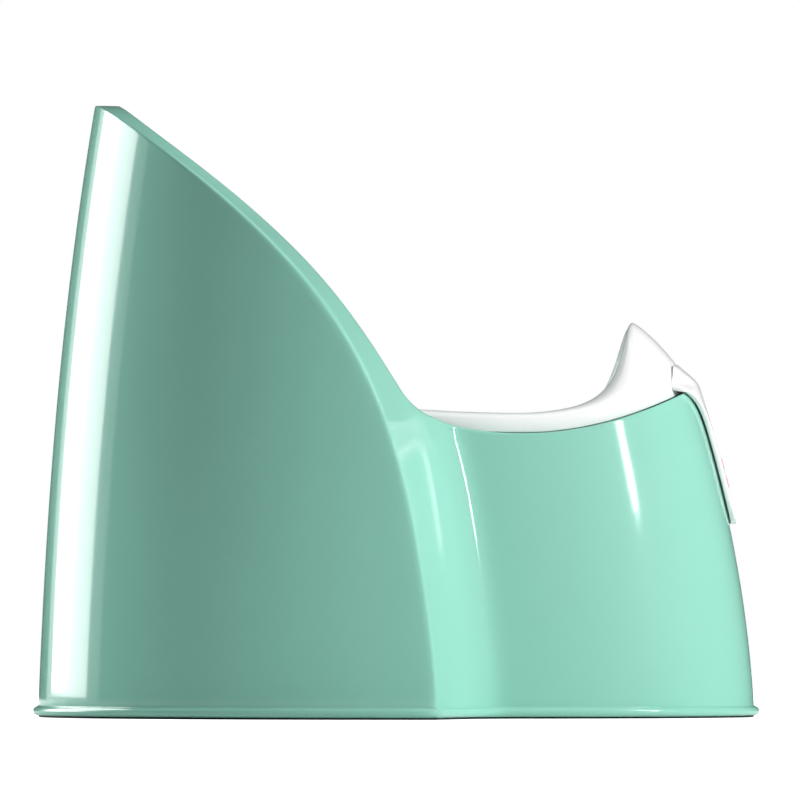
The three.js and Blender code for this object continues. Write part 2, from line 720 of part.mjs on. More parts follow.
/** A point of the tongue, `out` from its inner side (0) to its outer side (1). */
function tonguePoint(w, down, out) {
  const [edge, height] = frontRim(w);
  const z = height - down;
  const face = (down > 0 ? drumFace(w, z) : edge) + TONGUE_GAP;
  let outside = face + TONGUE_THICK;
  const tucked = smoothstep(-down, TONGUE_GAP + 0.6, TONGUE_GAP + 2.4);
  let inside = face - tucked * (edge + TONGUE_GAP - rimSide(w, 2) + POTTY_WALL + 0.2);
  if (down < 0) {
    const atSide = smoothstep(Math.abs(w) / tongueHalf(down), 0.4, 1) * smoothstep(-down, 0, 5);
    const atTop = smoothstep(-down / ROOT_HEIGHT, 0, 1) ** 0.8;
    outside = lerp(outside, rimSide(w, -down) - ROOT_SUNK, Math.max(atSide, atTop));
    inside = Math.min(inside, outside - 0.6);
  }
  return new THREE.Vector3(lerp(inside, outside, out) - LENGTH / 2, w, z);
}

/** A flat body that follows the tongue's face between two depths, for widths given by `half`. */
function tongueBody(half, rows, steps, outs, edge) {
  const [inner, outer] = outs;
  const section = [];
  for (let i = 0; i <= steps; i++) section.push([-1 + (2 * i) / steps, inner]);
  for (let i = steps; i >= 0; i--) section.push([-1 + (2 * i) / steps, outer]);
  const stations = rows.map((down) => (u, out) => {
    const width = half(down) - (out === outer ? edge : 0);
    return tonguePoint(u * Math.max(width, 0.5), down, out);
  });
  return sweptSolid(stations, section, false);
}

function tongue() {
  const rows = [-ROOT_HEIGHT, -9, -7, -5, -3.6, -2.4, -1.4, 0, 4, 8, 12, 16, 20, 24, 32];
  const straight = TONGUE_REACH - TONGUE_HALF_WIDTH;
  rows.push(40, straight);
  for (const a of [25, 42, 57, 70, 81, 87])
    rows.push(straight + TONGUE_HALF_WIDTH * Math.sin(radians(a)));
  return tongueBody(tongueHalf, rows, 12, [0, 1], 0.8);
}

/** One wavy bar of the mark, `grow` larger all round, between two depths of the tongue's face. */
function markBar(down, grow, from, to) {
  const points = [];
  const indices = [];
  const steps = 12;
  for (let i = 0; i <= steps; i++) {
    const w = lerp(-MARK_HALF_WIDTH - grow, MARK_HALF_WIDTH + grow, i / steps);
    const wave = MARK_WAVE * Math.sin((w / MARK_HALF_WIDTH) * Math.PI * 1.5);
    const half = (MARK_BAR / 2 + grow) * (i === 0 || i === steps ? 0.55 : 1);
    for (const [side, at] of [[-1, from], [1, from], [1, to], [-1, to]])
      points.push(tonguePoint(w, down + wave + side * half, 1).add(new THREE.Vector3(at, 0, 0)));
  }
  for (let i = 0; i < steps; i++)
    for (let k = 0; k < 4; k++) {
      const a = i * 4 + k;
      const b = i * 4 + ((k + 1) % 4);
      indices.push(a, a + 4, b, b, a + 4, b + 4);
    }
  const last = steps * 4;
  indices.push(0, 2, 3, 0, 1, 2, last, last + 2, last + 1, last, last + 3, last + 2);
  return solidFrom(points, indices);
}

const markPlaces = [MARK_DOWN, MARK_DOWN + MARK_PITCH];

/** The lift-out potty: rolled rim, splash guard, bowl and grip tongue in one wall. */
function innerPotty() {
  const sheet = new Sheet();
  const grid = [];
  for (let i = 0; i <= POTTY_COLUMNS; i++) {
    const t = i / POTTY_COLUMNS;
    grid.push(pottyColumn(Math.PI * (1 - t)));
  }
  sheet.addGrid(grid);
  let solid = sheet.thickened(POTTY_WALL).add(tongue());
  for (const down of markPlaces)
    solid = solid.subtract(markBar(down, MARK_GAP, -MARK_DEEP - MARK_GAP, MARK_PROUD + 2));
  return solid;
}

// ---- The whole chair -----------------------------------------------------------------------------

const material = (color, roughness) => new THREE.MeshStandardMaterial({ color, roughness });
const finishes = {
  shell: material(0x79bfa7, 0.22),
  potty: material(0xf4f5f3, 0.25),
  rubber: material(0x1c2a26, 0.8),
  mark: material(0xe89ab4, 0.45),
};

const group = new THREE.Group();
group.add(meshOf("chair_shell", chairShell(), finishes.shell));
const [leftGrip, rightGrip] = gripLengths(0);
group.add(meshOf("grip_strip_left", leftGrip, finishes.rubber));
group.add(meshOf("grip_strip_right", rightGrip, finishes.rubber));
group.add(meshOf("inner_potty", innerPotty(), finishes.potty));
markPlaces.forEach((down, i) => {
  const bar = markBar(down, 0, -MARK_DEEP, MARK_PROUD);
  group.add(meshOf(["front_mark_upper", "front_mark_lower"][i], bar, finishes.mark));
});

export default group;
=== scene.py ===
"""A potty training chair in gloss mint plastic with a white lift-out potty.

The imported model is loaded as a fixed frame. Each moulding is built again as a smooth four-sided mesh
that stands for its faceted node, and every surface gets its own plastic or rubber. Lengths in the
chair's own classes are millimetres along the chair from the rear end of the foot bead, half widths
from the middle plane and heights from the floor. The objects and the studio are in metres.
"""

from __future__ import annotations

import logging
import math
from collections.abc import Callable, Sequence
from dataclasses import dataclass
from enum import Enum

import bmesh
import bpy
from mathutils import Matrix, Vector

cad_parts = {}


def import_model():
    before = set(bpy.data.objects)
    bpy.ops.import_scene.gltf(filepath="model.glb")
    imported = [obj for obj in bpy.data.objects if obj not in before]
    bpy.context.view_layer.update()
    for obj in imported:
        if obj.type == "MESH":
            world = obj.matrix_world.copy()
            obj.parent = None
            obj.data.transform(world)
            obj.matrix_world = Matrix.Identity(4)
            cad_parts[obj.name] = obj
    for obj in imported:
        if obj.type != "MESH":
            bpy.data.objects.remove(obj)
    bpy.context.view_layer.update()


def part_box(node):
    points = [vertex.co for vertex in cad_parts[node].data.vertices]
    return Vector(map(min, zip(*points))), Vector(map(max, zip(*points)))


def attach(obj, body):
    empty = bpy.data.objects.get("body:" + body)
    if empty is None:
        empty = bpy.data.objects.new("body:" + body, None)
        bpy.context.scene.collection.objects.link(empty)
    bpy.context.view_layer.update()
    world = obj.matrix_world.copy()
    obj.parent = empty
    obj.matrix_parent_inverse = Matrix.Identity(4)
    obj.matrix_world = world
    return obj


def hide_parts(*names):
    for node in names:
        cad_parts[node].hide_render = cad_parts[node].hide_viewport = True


log = logging.getLogger("potty_chair")

Pair = tuple[float, float]
Point = tuple[float, float, float]
Place = Callable[[float, float], Vector]
TubePlace = Callable[[Pair, int], Vector]
MM = 0.001
TINY = 1e-6


# ---- Small sums ---------------------------------------------------------------------------------


def lerp(a: float, b: float, t: float) -> float:
    """The value a share t of the way from a to b."""
    return a + (b - a) * t


def clamp(v: float, low: float = 0.0, high: float = 1.0) -> float:
    """v, kept between low and high."""
    return max(low, min(high, v))


def smoothstep(v: float, low: float, high: float) -> float:
    """A smooth rise from 0 at low to 1 at high."""
    t = clamp((v - low) / (high - low))
    return t * t * (3 - 2 * t)


def bezier(values: Sequence[float], t: float) -> float:
    """One coordinate of a Bezier curve.

    Args:
        values: the control values, first to last.
        t: the place along the curve, from 0 to 1.

    Returns:
        The curve's value at t.
    """
    v = list(values)
    while len(v) > 1:
        v = [lerp(a, b, t) for a, b in zip(v, v[1:])]
    return v[0]


def bezier_pair(points: Sequence[Sequence[float]], t: float) -> Pair:
    """The point at a share t along a flat Bezier curve."""
    return (bezier([p[0] for p in points], t), bezier([p[1] for p in points], t))


def rounded_max(a: float, b: float, blend: float) -> float:
    """The larger of a and b, with a round fillet where they are within blend of each other."""
    near = max(blend - abs(a - b), 0) / blend
    return max(a, b) + near * near * blend / 4


def egg_radius(angle: float, front: float, rear: float, side: float, power: float) -> float:
    """Distance from the centre of an egg-shaped line to the line.

    Args:
        angle: direction from the front, in radians.
        front: reach to the front.
        rear: reach to the rear.
        side: reach to each side.
        power: squareness, where 2 is an ellipse.

    Returns:
        The distance in that direction.
    """
    c = abs(math.cos(angle)) / (front if math.cos(angle) > 0 else rear)
    s = abs(math.sin(angle)) / side
    return (c**power + s**power) ** (-1 / power)


class Path:
    """A line of points that can be read by the distance along it."""

    def __init__(self, points: Sequence[Sequence[float]]) -> None:
        """Measures the line.

        Args:
            points: the line's points, in order.
        """
        self.points = [tuple(p) for p in points]
        self.at = [0.0]
        for p, q in zip(self.points, self.points[1:]):
            self.at.append(self.at[-1] + math.dist(p, q))
        self.total = self.at[-1]

    def point(self, distance: float) -> Point:
        """Reads the line.

        Args:
            distance: how far along it.

        Returns:
            The point there.
        """
        low, high = 0, len(self.at) - 1
        while high - low > 1:
            middle = (low + high) // 2
            if self.at[middle] <= distance:
                low = middle
            else:
                high = middle
        t = clamp((distance - self.at[low]) / max(self.at[high] - self.at[low], 1e-9))
        return tuple(lerp(a, b, t) for a, b in zip(self.points[low], self.points[high]))


def close_edge(length: float, away: float, most: float) -> float:
    """Share of a row of this length that its close edge takes, at most a given share."""
    return min(away / max(length, TINY), most)


def supported(length: float, steps: int, first: float, last: float) -> list[float]:
    """Places for a row of mesh edges, with a close edge at each end that holds a rounded corner.

    Args:
        length: length of the row in millimetres.
        steps: how many even steps lie between the two close edges.
        first: distance of the first close edge from the start, in millimetres.
        last: distance of the last close edge from the end, in millimetres.

    Returns:
        Shares of the length, from 0 to 1.
    """
    a = close_edge(length, first, 0.2)
    b = 1 - close_edge(length, last, 0.3)
    return [0.0, *(lerp(a, b, i / steps) for i in range(steps + 1)), 1.0]


# ---- The chair's form ---------------------------------------------------------------------------


@dataclass
class ChairForm:
    """The laws of the chair's outer form, shared by every piece.

    Its sizes are the CAD model's, in millimetres. A pull is a row of Bezier control values.
    """

    length: float
    width: float
    height: float
    foot_z: float = 0.8
    bead: float = 2.4
    rear_lean: float = 0.036
    rear_curl: float = 16.0
    rear_curl_power: float = 2.4
    front_lean: float = 0.0455
    front_crown: float = 22.0
    crown_height: float = 158.0
    wing_corner: float = 193.4
    wing_power: float = 2.4
    wing_taper: float = 0.55
    crease_pull: tuple[float, ...] = (193.7, 168.1, 194.9, 99.7)
    slope_limit: float = 2.6
    face_turn: float = 0.02
    face_turn_from: float = 225.0
    drum_centre: float = 190.0
    drum_half: float = 104.0
    drum_taper: float = 0.03
    drum_crown: float = 13.0
    drum_powers: Pair = (2.6, 2.4)
    drum_fade: Pair = (165.0, 205.0)
    drum_fillet: float = 34.0
    wing_rim_from: float = 140.0
    wing_rim_pull: tuple[float, ...] = (185.5, 157.7, 147.8, 77.8, 41.9)
    seat_low: float = 132.8
    seat_rise: float = 0.0007
    seat_centre: float = 205.0
    saddle_low: float = 233.0
    ledge_drop: float = 0.2
    front_rim_height: float = 157.9
    front_ledge: float = 19.4
    opening_rear: float = 94.0
    opening_half: float = 69.0
    opening_power: float = 2.3
    arm_rise: float = 0.0015
    arm_rise_power: float = 2.3
    arm_from: float = 153.0
    arm_knee: Pair = (181.4, 144.8)
    arm_to: float = 191.0
    level_from: float = 168.0
    fan_end: float = 203.0
    rim_steps: int = 160
    knee_steps: int = 24

    def __post_init__(self) -> None:
        """Ties the front rim's rise and the opening's front to where the drum's front stands."""
        edge = self.front_wall(self.front_rim_height)
        self.front_rise = (self.front_rim_height - self.seat_low) / (edge - self.saddle_low) ** 2
        self.opening_front = edge - self.seat_centre - self.front_ledge

    def rear_wall(self, z: float) -> float:
        """Where the rear wall stands at a height, on the middle plane."""
        curl = self.rear_curl * (max(z, 0) / self.height) ** self.rear_curl_power
        return self.bead + self.rear_lean * z + curl

    def front_wall(self, z: float) -> float:
        """Where the drum's front stands at a height, on the middle plane."""
        crown = self.front_crown * (max(z, 0) / self.crown_height) ** 2
        return self.length - self.bead - self.front_lean * z - crown

    def wing_half(self, z: float) -> float:
        """Half width over the wings at a height."""
        leaned = self.rear_wall(z) - self.rear_wall(0)
        return self.width / 2 - self.bead - self.wing_taper * leaned

    def rear_plan(self, z: float, angle: float) -> Point:
        """A point of the rear wall.

        Args:
            z: the height.
            angle: the angle round the plan from the rear, in radians.

        Returns:
            The point [x, w, z].
        """
        reach = max(math.cos(angle), 0) ** (2 / self.wing_power)
        x = self.wing_corner - (self.wing_corner - self.rear_wall(z)) * reach
        return (x, self.wing_half(z) * math.sin(angle), z)

    def rear_half_width(self, x: float, z: float) -> float:
        """Half width of the rear wall at a place and height."""
        r = clamp((self.wing_corner - x) / (self.wing_corner - self.rear_wall(z)))
        return self.wing_half(z) * math.sqrt(max(0, 1 - r**self.wing_power))

    def crease_x(self, z: float) -> float:
        """Where the wing's crease is at a height."""
        pull = (self.wing_corner, *self.crease_pull, self.rear_wall(self.height))
        return max(bezier(pull, clamp(z / self.height)), self.rear_wall(z))

    def face_slope(self, z: float) -> float:
        """How the wing's face leans in at a height.

        Args:
            z: the height.

        Returns:
            Half width that the face loses for each millimetre forward.
        """
        depth = self.wing_corner - self.rear_wall(z)
        r = clamp((self.wing_corner - self.crease_x(z)) / depth)
        growth = self.wing_half(z) ** 2 * self.wing_power * r ** (self.wing_power - 1)
        w = self.rear_half_width(self.crease_x(z), z)
        return min(self.slope_limit, 2 * depth * w / max(growth, TINY))

    def drum_half_at(self, z: float) -> float:
        """Half width of the front drum at a height."""
        crown = self.drum_crown * (max(z, 0) / self.crown_height) ** 2
        return self.drum_half - self.drum_taper * z - crown

    def drum_half_width(self, x: float, z: float) -> float:
        """Half width of the front drum at a place and height."""
        r = clamp((x - self.drum_centre) / (self.front_wall(z) - self.drum_centre))
        return self.drum_half_at(z) * max(0, 1 - r ** self.drum_powers[0]) ** (1 / self.drum_powers[1])

    def drum_face(self, w: float, z: float) -> float:
        """How far forward the drum's outer face is.

        Args:
            w: the half width.
            z: the height.

        Returns:
            The face's place along the chair.
        """
        r = clamp(abs(w) / self.drum_half_at(z))
        reach = (1 - r ** self.drum_powers[1]) ** (1 / self.drum_powers[0])
        return self.drum_centre + (self.front_wall(z) - self.drum_centre) * reach

    def face_half_width(self, x: float, z: float) -> float:
        """Half width of the face from the crease to the rim, the drum filleted into it.

        Args:
            x: the place along the chair.
            z: the height.

        Returns:
            The half width there.
        """
        turn = self.face_turn * max(x - self.face_turn_from, 0) ** 2
        wing = self.rear_half_width(self.crease_x(z), z)
        wing -= self.face_slope(z) * (x - self.crease_x(z)) + turn
        low, high = self.drum_fade
        if z > high:
            return max(0, wing)
        drum = self.drum_half_width(x, z) * (1 - smoothstep(z, low, high))
        return max(0, rounded_max(wing, drum, self.drum_fillet))

    def wing_rim_x(self, z: float) -> float:
        """Where the wing's inner edge is at a height."""
        return bezier(self.wing_rim_pull, (z - self.wing_rim_from) / (self.height - self.wing_rim_from))

    def rim_height(self, x: float) -> float:
        """Height of the shell's rim over the drum and the front of the armrests.

        Args:
            x: the place along the chair.

        Returns:
            The height there.
        """
        away = x - self.saddle_low
        if away > 0:
            return self.seat_low + self.front_rise * away**2
        return self.seat_low + self.arm_rise * (-away) ** self.arm_rise_power

    def seat_height(self, x: float) -> float:
        """Height of the ledge that the potty's rim lies on.

        Args:
            x: the place along the chair.

        Returns:
            The height there.
        """
        away = x - self.saddle_low
        rise = self.front_rise if away > 0 else self.seat_rise
        return self.seat_low - self.ledge_drop + rise * away**2

    def opening(self, angle: float) -> float:
        """Distance from the seat centre to the opening's edge."""
        return egg_radius(
            angle, self.opening_front, self.opening_rear, self.opening_half, self.opening_power
        )

    def front_rim(self, w: float) -> Pair:
        """The shell's front rim.

        Args:
            w: the half width where it is wanted.

        Returns:
            The rim's place along the chair and its height.
        """
        z = self.seat_low
        for _ in range(12):
            z = self.rim_height(self.drum_face(w, z))
        return self.drum_face(w, z), z

    def rim_line(self) -> list[Pair]:
        """The rim, seen from the side.

        Returns:
            Points [x, z] from the backrest's top, over the armrest's knee, to the front.
        """
        line = []
        for i in range(self.rim_steps):
            z = lerp(self.height, self.arm_from, i / self.rim_steps)
            line.append((self.wing_rim_x(z), z))
        start = (self.wing_rim_x(self.arm_from), self.arm_from)
        end = (self.arm_to, self.rim_height(self.arm_to))
        for i in range(self.knee_steps):
            line.append(bezier_pair((start, self.arm_knee, end), i / self.knee_steps))
        front = self.front_rim(0)[0]
        for i in range(self.rim_steps + 1):
            x = lerp(self.arm_to, front, math.sin(i / self.rim_steps * math.pi / 2))
            line.append((x, self.rim_height(x)))
        return line

    def to_world(self, point: Sequence[float], side: float = 1.0) -> Vector:
        """A point [x, w, z] of the form, in the frame's metres."""
        x, w, z = point
        return Vector((x - self.length / 2, side * w, z)) * MM


# ---- Mesh steps ---------------------------------------------------------------------------------


def lay_grid(mesh: bmesh.types.BMesh, across: int, along: int, place: Place) -> None:
    """Adds a grid and lays it on a surface.

    Args:
        mesh: the mesh that it joins.
        across: faces across the grid.
        along: faces along it.
        place: gives a point of the surface from two shares, each from 0 to 1.
    """
    made = bmesh.ops.create_grid(mesh, x_segments=across, y_segments=along, size=0.5)
    for v in made["verts"]:
        u = round((v.co.x + 0.5) * across) / across
        t = round((v.co.y + 0.5) * along) / along
        v.co = place(u, t)


def lay_tube(
    mesh: bmesh.types.BMesh, section: Sequence[Pair], rows: int, place: TubePlace
) -> None:
    """Carries a closed section along a line of stations.

    Args:
        mesh: the mesh that it joins.
        section: the section's points, in order round it.
        rows: how many steps there are from the first station to the last.
        place: gives a point of the surface from a point of the section and a station's number.
    """
    around = len(section)

    def on_grid(u: float, t: float) -> Vector:
        """The surface's point for two shares of the grid."""
        return place(section[round(u * around) % around], round(t * rows))

    lay_grid(mesh, around, rows, on_grid)


def close_tube(mesh: bmesh.types.BMesh) -> None:
    """Welds a tube along its seam, closes its ends and turns its faces out.

    Args:
        mesh: the tube's mesh.
    """
    bmesh.ops.remove_doubles(mesh, verts=mesh.verts, dist=1e-6)
    bmesh.ops.holes_fill(mesh, edges=[e for e in mesh.edges if e.is_boundary], sides=0)
    bmesh.ops.recalc_face_normals(mesh, faces=mesh.faces)


def mirror_and_weld(mesh: bmesh.types.BMesh, weld: float = 2e-5) -> None:
    """Adds the other half over the middle plane, welds every shared edge and turns faces out.

    Args:
        mesh: the mesh of one half.
        weld: points nearer than this, in metres, become one.
    """
    geometry = [*mesh.verts, *mesh.edges, *mesh.faces]
    bmesh.ops.mirror(mesh, geom=geometry, axis="Y", merge_dist=1e-7)
    bmesh.ops.remove_doubles(mesh, verts=mesh.verts, dist=weld)
    bmesh.ops.dissolve_degenerate(mesh, edges=mesh.edges, dist=1e-6)
    bmesh.ops.recalc_face_normals(mesh, faces=mesh.faces)


def turn_outwards(mesh: bmesh.types.BMesh, outside: Vector) -> None:
    """Turns every face of an open skin over if the face nearest a point looks away from it.

    Args:
        mesh: the skin's mesh.
        outside: a point in metres on the skin's outer side.
    """
    nearest = min(mesh.faces, key=lambda f: (f.calc_center_median() - outside).length)
    if nearest.normal.dot(outside - nearest.calc_center_median()) < 0:
        bmesh.ops.reverse_faces(mesh, faces=mesh.faces)


# ---- Finishes -----------------------------------------------------------------------------------


class Finish(Enum):
    """The finishes on the chair."""

    SHELL = "shell_plastic"
    POTTY = "potty_plastic"
    GRIP = "grip_rubber"
    MARK = "mark_print"


def add_node(
    tree: bpy.types.NodeTree,
    kind: str,
    inputs: dict[str | int, object] | None = None,
    **settings: object,
) -> bpy.types.Node:
    """Adds a shader node.

    Args:
        tree: the node tree that it joins.
        kind: the node's type, without its leading ShaderNode.
        inputs: values for its sockets, by name or number.
        settings: values for its own properties, which are set first.

    Returns:
        The node.
    """
    node = tree.nodes.new(f"ShaderNode{kind}")
    for name, value in settings.items():
        setattr(node, name, value)
    for name, value in (inputs or {}).items():
        node.inputs[name].default_value = value
    return node


def join(
    tree: bpy.types.NodeTree, source: bpy.types.Node, out: str | int, to: bpy.types.Node, at: str | int
) -> None:
    """Links one node's output to another's input.

    Args:
        tree: their node tree.
        source: the node that gives.
        out: its output, by name or number.
        to: the node that takes.
        at: its input, by name or number.
    """
    tree.links.new(source.outputs[out], to.inputs[at])


@dataclass(frozen=True)
class SurfaceGroup:
    """The fine unevenness of a moulded surface, shared by every finish.

    The group's inputs are a vector in metres, the size of the flow patches, the size of the grain
    and how strong the grain is. Its outputs are a patch mask, a speck mask and a height.
    """

    patch_detail: float = 3.0
    patch_roughness: float = 0.55
    grain_detail: float = 2.0
    wave_scale: float = 55.0
    wave_detail: float = 1.0
    speck_scale: float = 240.0
    speck_core: float = 0.035
    speck_edge: float = 0.11

    def build(self) -> bpy.types.NodeTree:
        """Makes the node group.

        Returns:
            The group.
        """
        tree = bpy.data.node_groups.new("moulded_surface", "ShaderNodeTree")
        sockets = (("Vector", "Vector"), ("Patch scale", "Float"), ("Grain scale", "Float"))
        for name, kind in (*sockets, ("Grain", "Float")):
            tree.interface.new_socket(name=name, in_out="INPUT", socket_type=f"NodeSocket{kind}")
        for name in ("Patches", "Specks", "Height"):
            tree.interface.new_socket(name=name, in_out="OUTPUT", socket_type="NodeSocketFloat")
        given = tree.nodes.new("NodeGroupInput")
        out = tree.nodes.new("NodeGroupOutput")
        detail = {"Detail": self.patch_detail, "Roughness": self.patch_roughness}
        patches = add_node(tree, "TexNoise", detail)
        grain = add_node(tree, "TexNoise", {"Detail": self.grain_detail})
        waves = add_node(tree, "TexNoise", {"Scale": self.wave_scale, "Detail": self.wave_detail})
        specks = add_node(tree, "TexVoronoi", {"Scale": self.speck_scale})
        edges = {"From Min": self.speck_core, "From Max": self.speck_edge, "To Min": 1, "To Max": 0}
        dots = add_node(tree, "MapRange", edges)
        scaled = add_node(tree, "Math", operation="MULTIPLY")
        total = add_node(tree, "Math", operation="ADD")
        for texture in (patches, grain, waves, specks):
            join(tree, given, "Vector", texture, "Vector")
        join(tree, given, "Patch scale", patches, "Scale")
        join(tree, given, "Grain scale", grain, "Scale")
        join(tree, grain, "Fac", scaled, 0)
        join(tree, given, "Grain", scaled, 1)
        join(tree, scaled, 0, total, 0)
        join(tree, waves, "Fac", total, 1)
        join(tree, specks, "Distance", dots, "Value")
        join(tree, patches, "Fac", out, "Patches")
        join(tree, dots, "Result", out, "Specks")
        join(tree, total, 0, out, "Height")
        return tree


@dataclass(frozen=True)
class Moulded:
    """A moulded plastic or rubber finish.

    Colours are linear. `tone` is the share of lightening and darkening that the flow patches give.
    """

    name: str
    colour: tuple[float, float, float]
    tone: float = 0.04
    roughness: float = 0.2
    roughness_spread: float = 0.05
    patch_low: float = 0.3
    patch_high: float = 0.7
    patch_scale: float = 9.0
    grain: float = 0.3
    grain_scale: float = 900.0
    bump: float = 0.02
    bump_depth: float = 0.0006
    speck_darkness: float = 0.03
    speck_shade: float = 0.35
    ior: float = 1.49

    def shade(self, share: float) -> tuple[float, ...]:
        """The colour made lighter or darker by a share, with its alpha."""
        return (*(min(c * share, 1) for c in self.colour), 1)

    def build(self, group: bpy.types.NodeTree) -> bpy.types.Material:
        """Makes the material.

        Args:
            group: the shared moulded-surface group.

        Returns:
            The material.
        """
        material = bpy.data.materials.new(self.name)
        material.use_nodes = True
        tree = material.node_tree
        shader = tree.nodes["Principled BSDF"]
        shader.inputs["IOR"].default_value = self.ior
        where = add_node(tree, "TexCoord")
        sizes = {"Patch scale": self.patch_scale, "Grain scale": self.grain_scale, "Grain": self.grain}
        surface = add_node(tree, "Group", sizes, node_tree=group)
        join(tree, where, "Object", surface, "Vector")

        tones = {"A": self.shade(1 - self.tone), "B": self.shade(1 + self.tone)}
        tint = add_node(tree, "Mix", tones, data_type="RGBA")
        join(tree, surface, "Patches", tint, "Factor")
        faint = add_node(tree, "Math", {1: self.speck_darkness}, operation="MULTIPLY")
        join(tree, surface, "Specks", faint, 0)
        speck = add_node(tree, "Mix", {"B": self.shade(self.speck_shade)}, data_type="RGBA")
        join(tree, faint, 0, speck, "Factor")
        join(tree, tint, "Result", speck, "A")
        join(tree, speck, "Result", shader, "Base Color")

        ranges = {"From Min": self.patch_low, "From Max": self.patch_high}
        ranges["To Min"] = self.roughness - self.roughness_spread
        ranges["To Max"] = self.roughness + self.roughness_spread
        rough = add_node(tree, "MapRange", ranges)
        join(tree, surface, "Patches", rough, "Value")
        join(tree, rough, "Result", shader, "Roughness")

        bump = add_node(tree, "Bump", {"Strength": self.bump, "Distance": self.bump_depth})
        join(tree, surface, "Height", bump, "Height")
        join(tree, bump, "Normal", shader, "Normal")
        return material


FINISHES = {
    Finish.SHELL: Moulded(
        "mint_gloss_plastic", (0.28, 0.62, 0.505), tone=0.04, roughness=0.1, roughness_spread=0.02
    ),
    Finish.POTTY: Moulded(
        "white_gloss_plastic", (0.88, 0.89, 0.88), tone=0.01, roughness=0.16, roughness_spread=0.03
    ),
    Finish.GRIP: Moulded(
        "dark_grip_rubber",
        (0.022, 0.035, 0.030),
        tone=0.25,
        roughness=0.72,
        roughness_spread=0.1,
        grain=2.4,
        grain_scale=1600,
        bump=0.35,
        speck_darkness=0.2,
    ),
    Finish.MARK: Moulded("coral_inlay_plastic", (0.80, 0.30, 0.42), tone=0.05, roughness=0.38),
}


def finish_piece(
    name: str,
    mesh: bmesh.types.BMesh,
    body: str,
    finish: Finish,
    material: bpy.types.Material,
    wall: float = 0.0,
    rounds: int = 1,
) -> bpy.types.Object:
    """Makes a piece of a mesh, gives it its wall, smoothness and finish, and hangs it on its body.

    Args:
        name: the piece's name.
        mesh: its mesh, which is freed.
        body: the CAD body it moves with.
        finish: its finish; not used.
        material: that finish's material.
        wall: thickness in millimetres that an open skin gets behind it, or 0.
        rounds: subdivision levels.

    Returns:
        The piece's object.
    """
    data = bpy.data.meshes.new(name)
    mesh.to_mesh(data)
    mesh.free()
    for face in data.polygons:
        face.use_smooth = True
    piece = bpy.data.objects.new(name, data)
    bpy.context.scene.collection.objects.link(piece)
    data.materials.append(material)
    if wall:
        solidify = piece.modifiers.new("wall", "SOLIDIFY")
        solidify.thickness = wall * MM
        solidify.offset = -1
        solidify.use_even_offset = True
    if rounds:
        smooth = piece.modifiers.new("rounding", "SUBSURF")
        smooth.levels = rounds
        smooth.render_levels = rounds
    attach(piece, body)
    log.info("%s: %d faces before rounding", name, len(data.polygons))
    return piece


# ---- The chair ----------------------------------------------------------------------------------


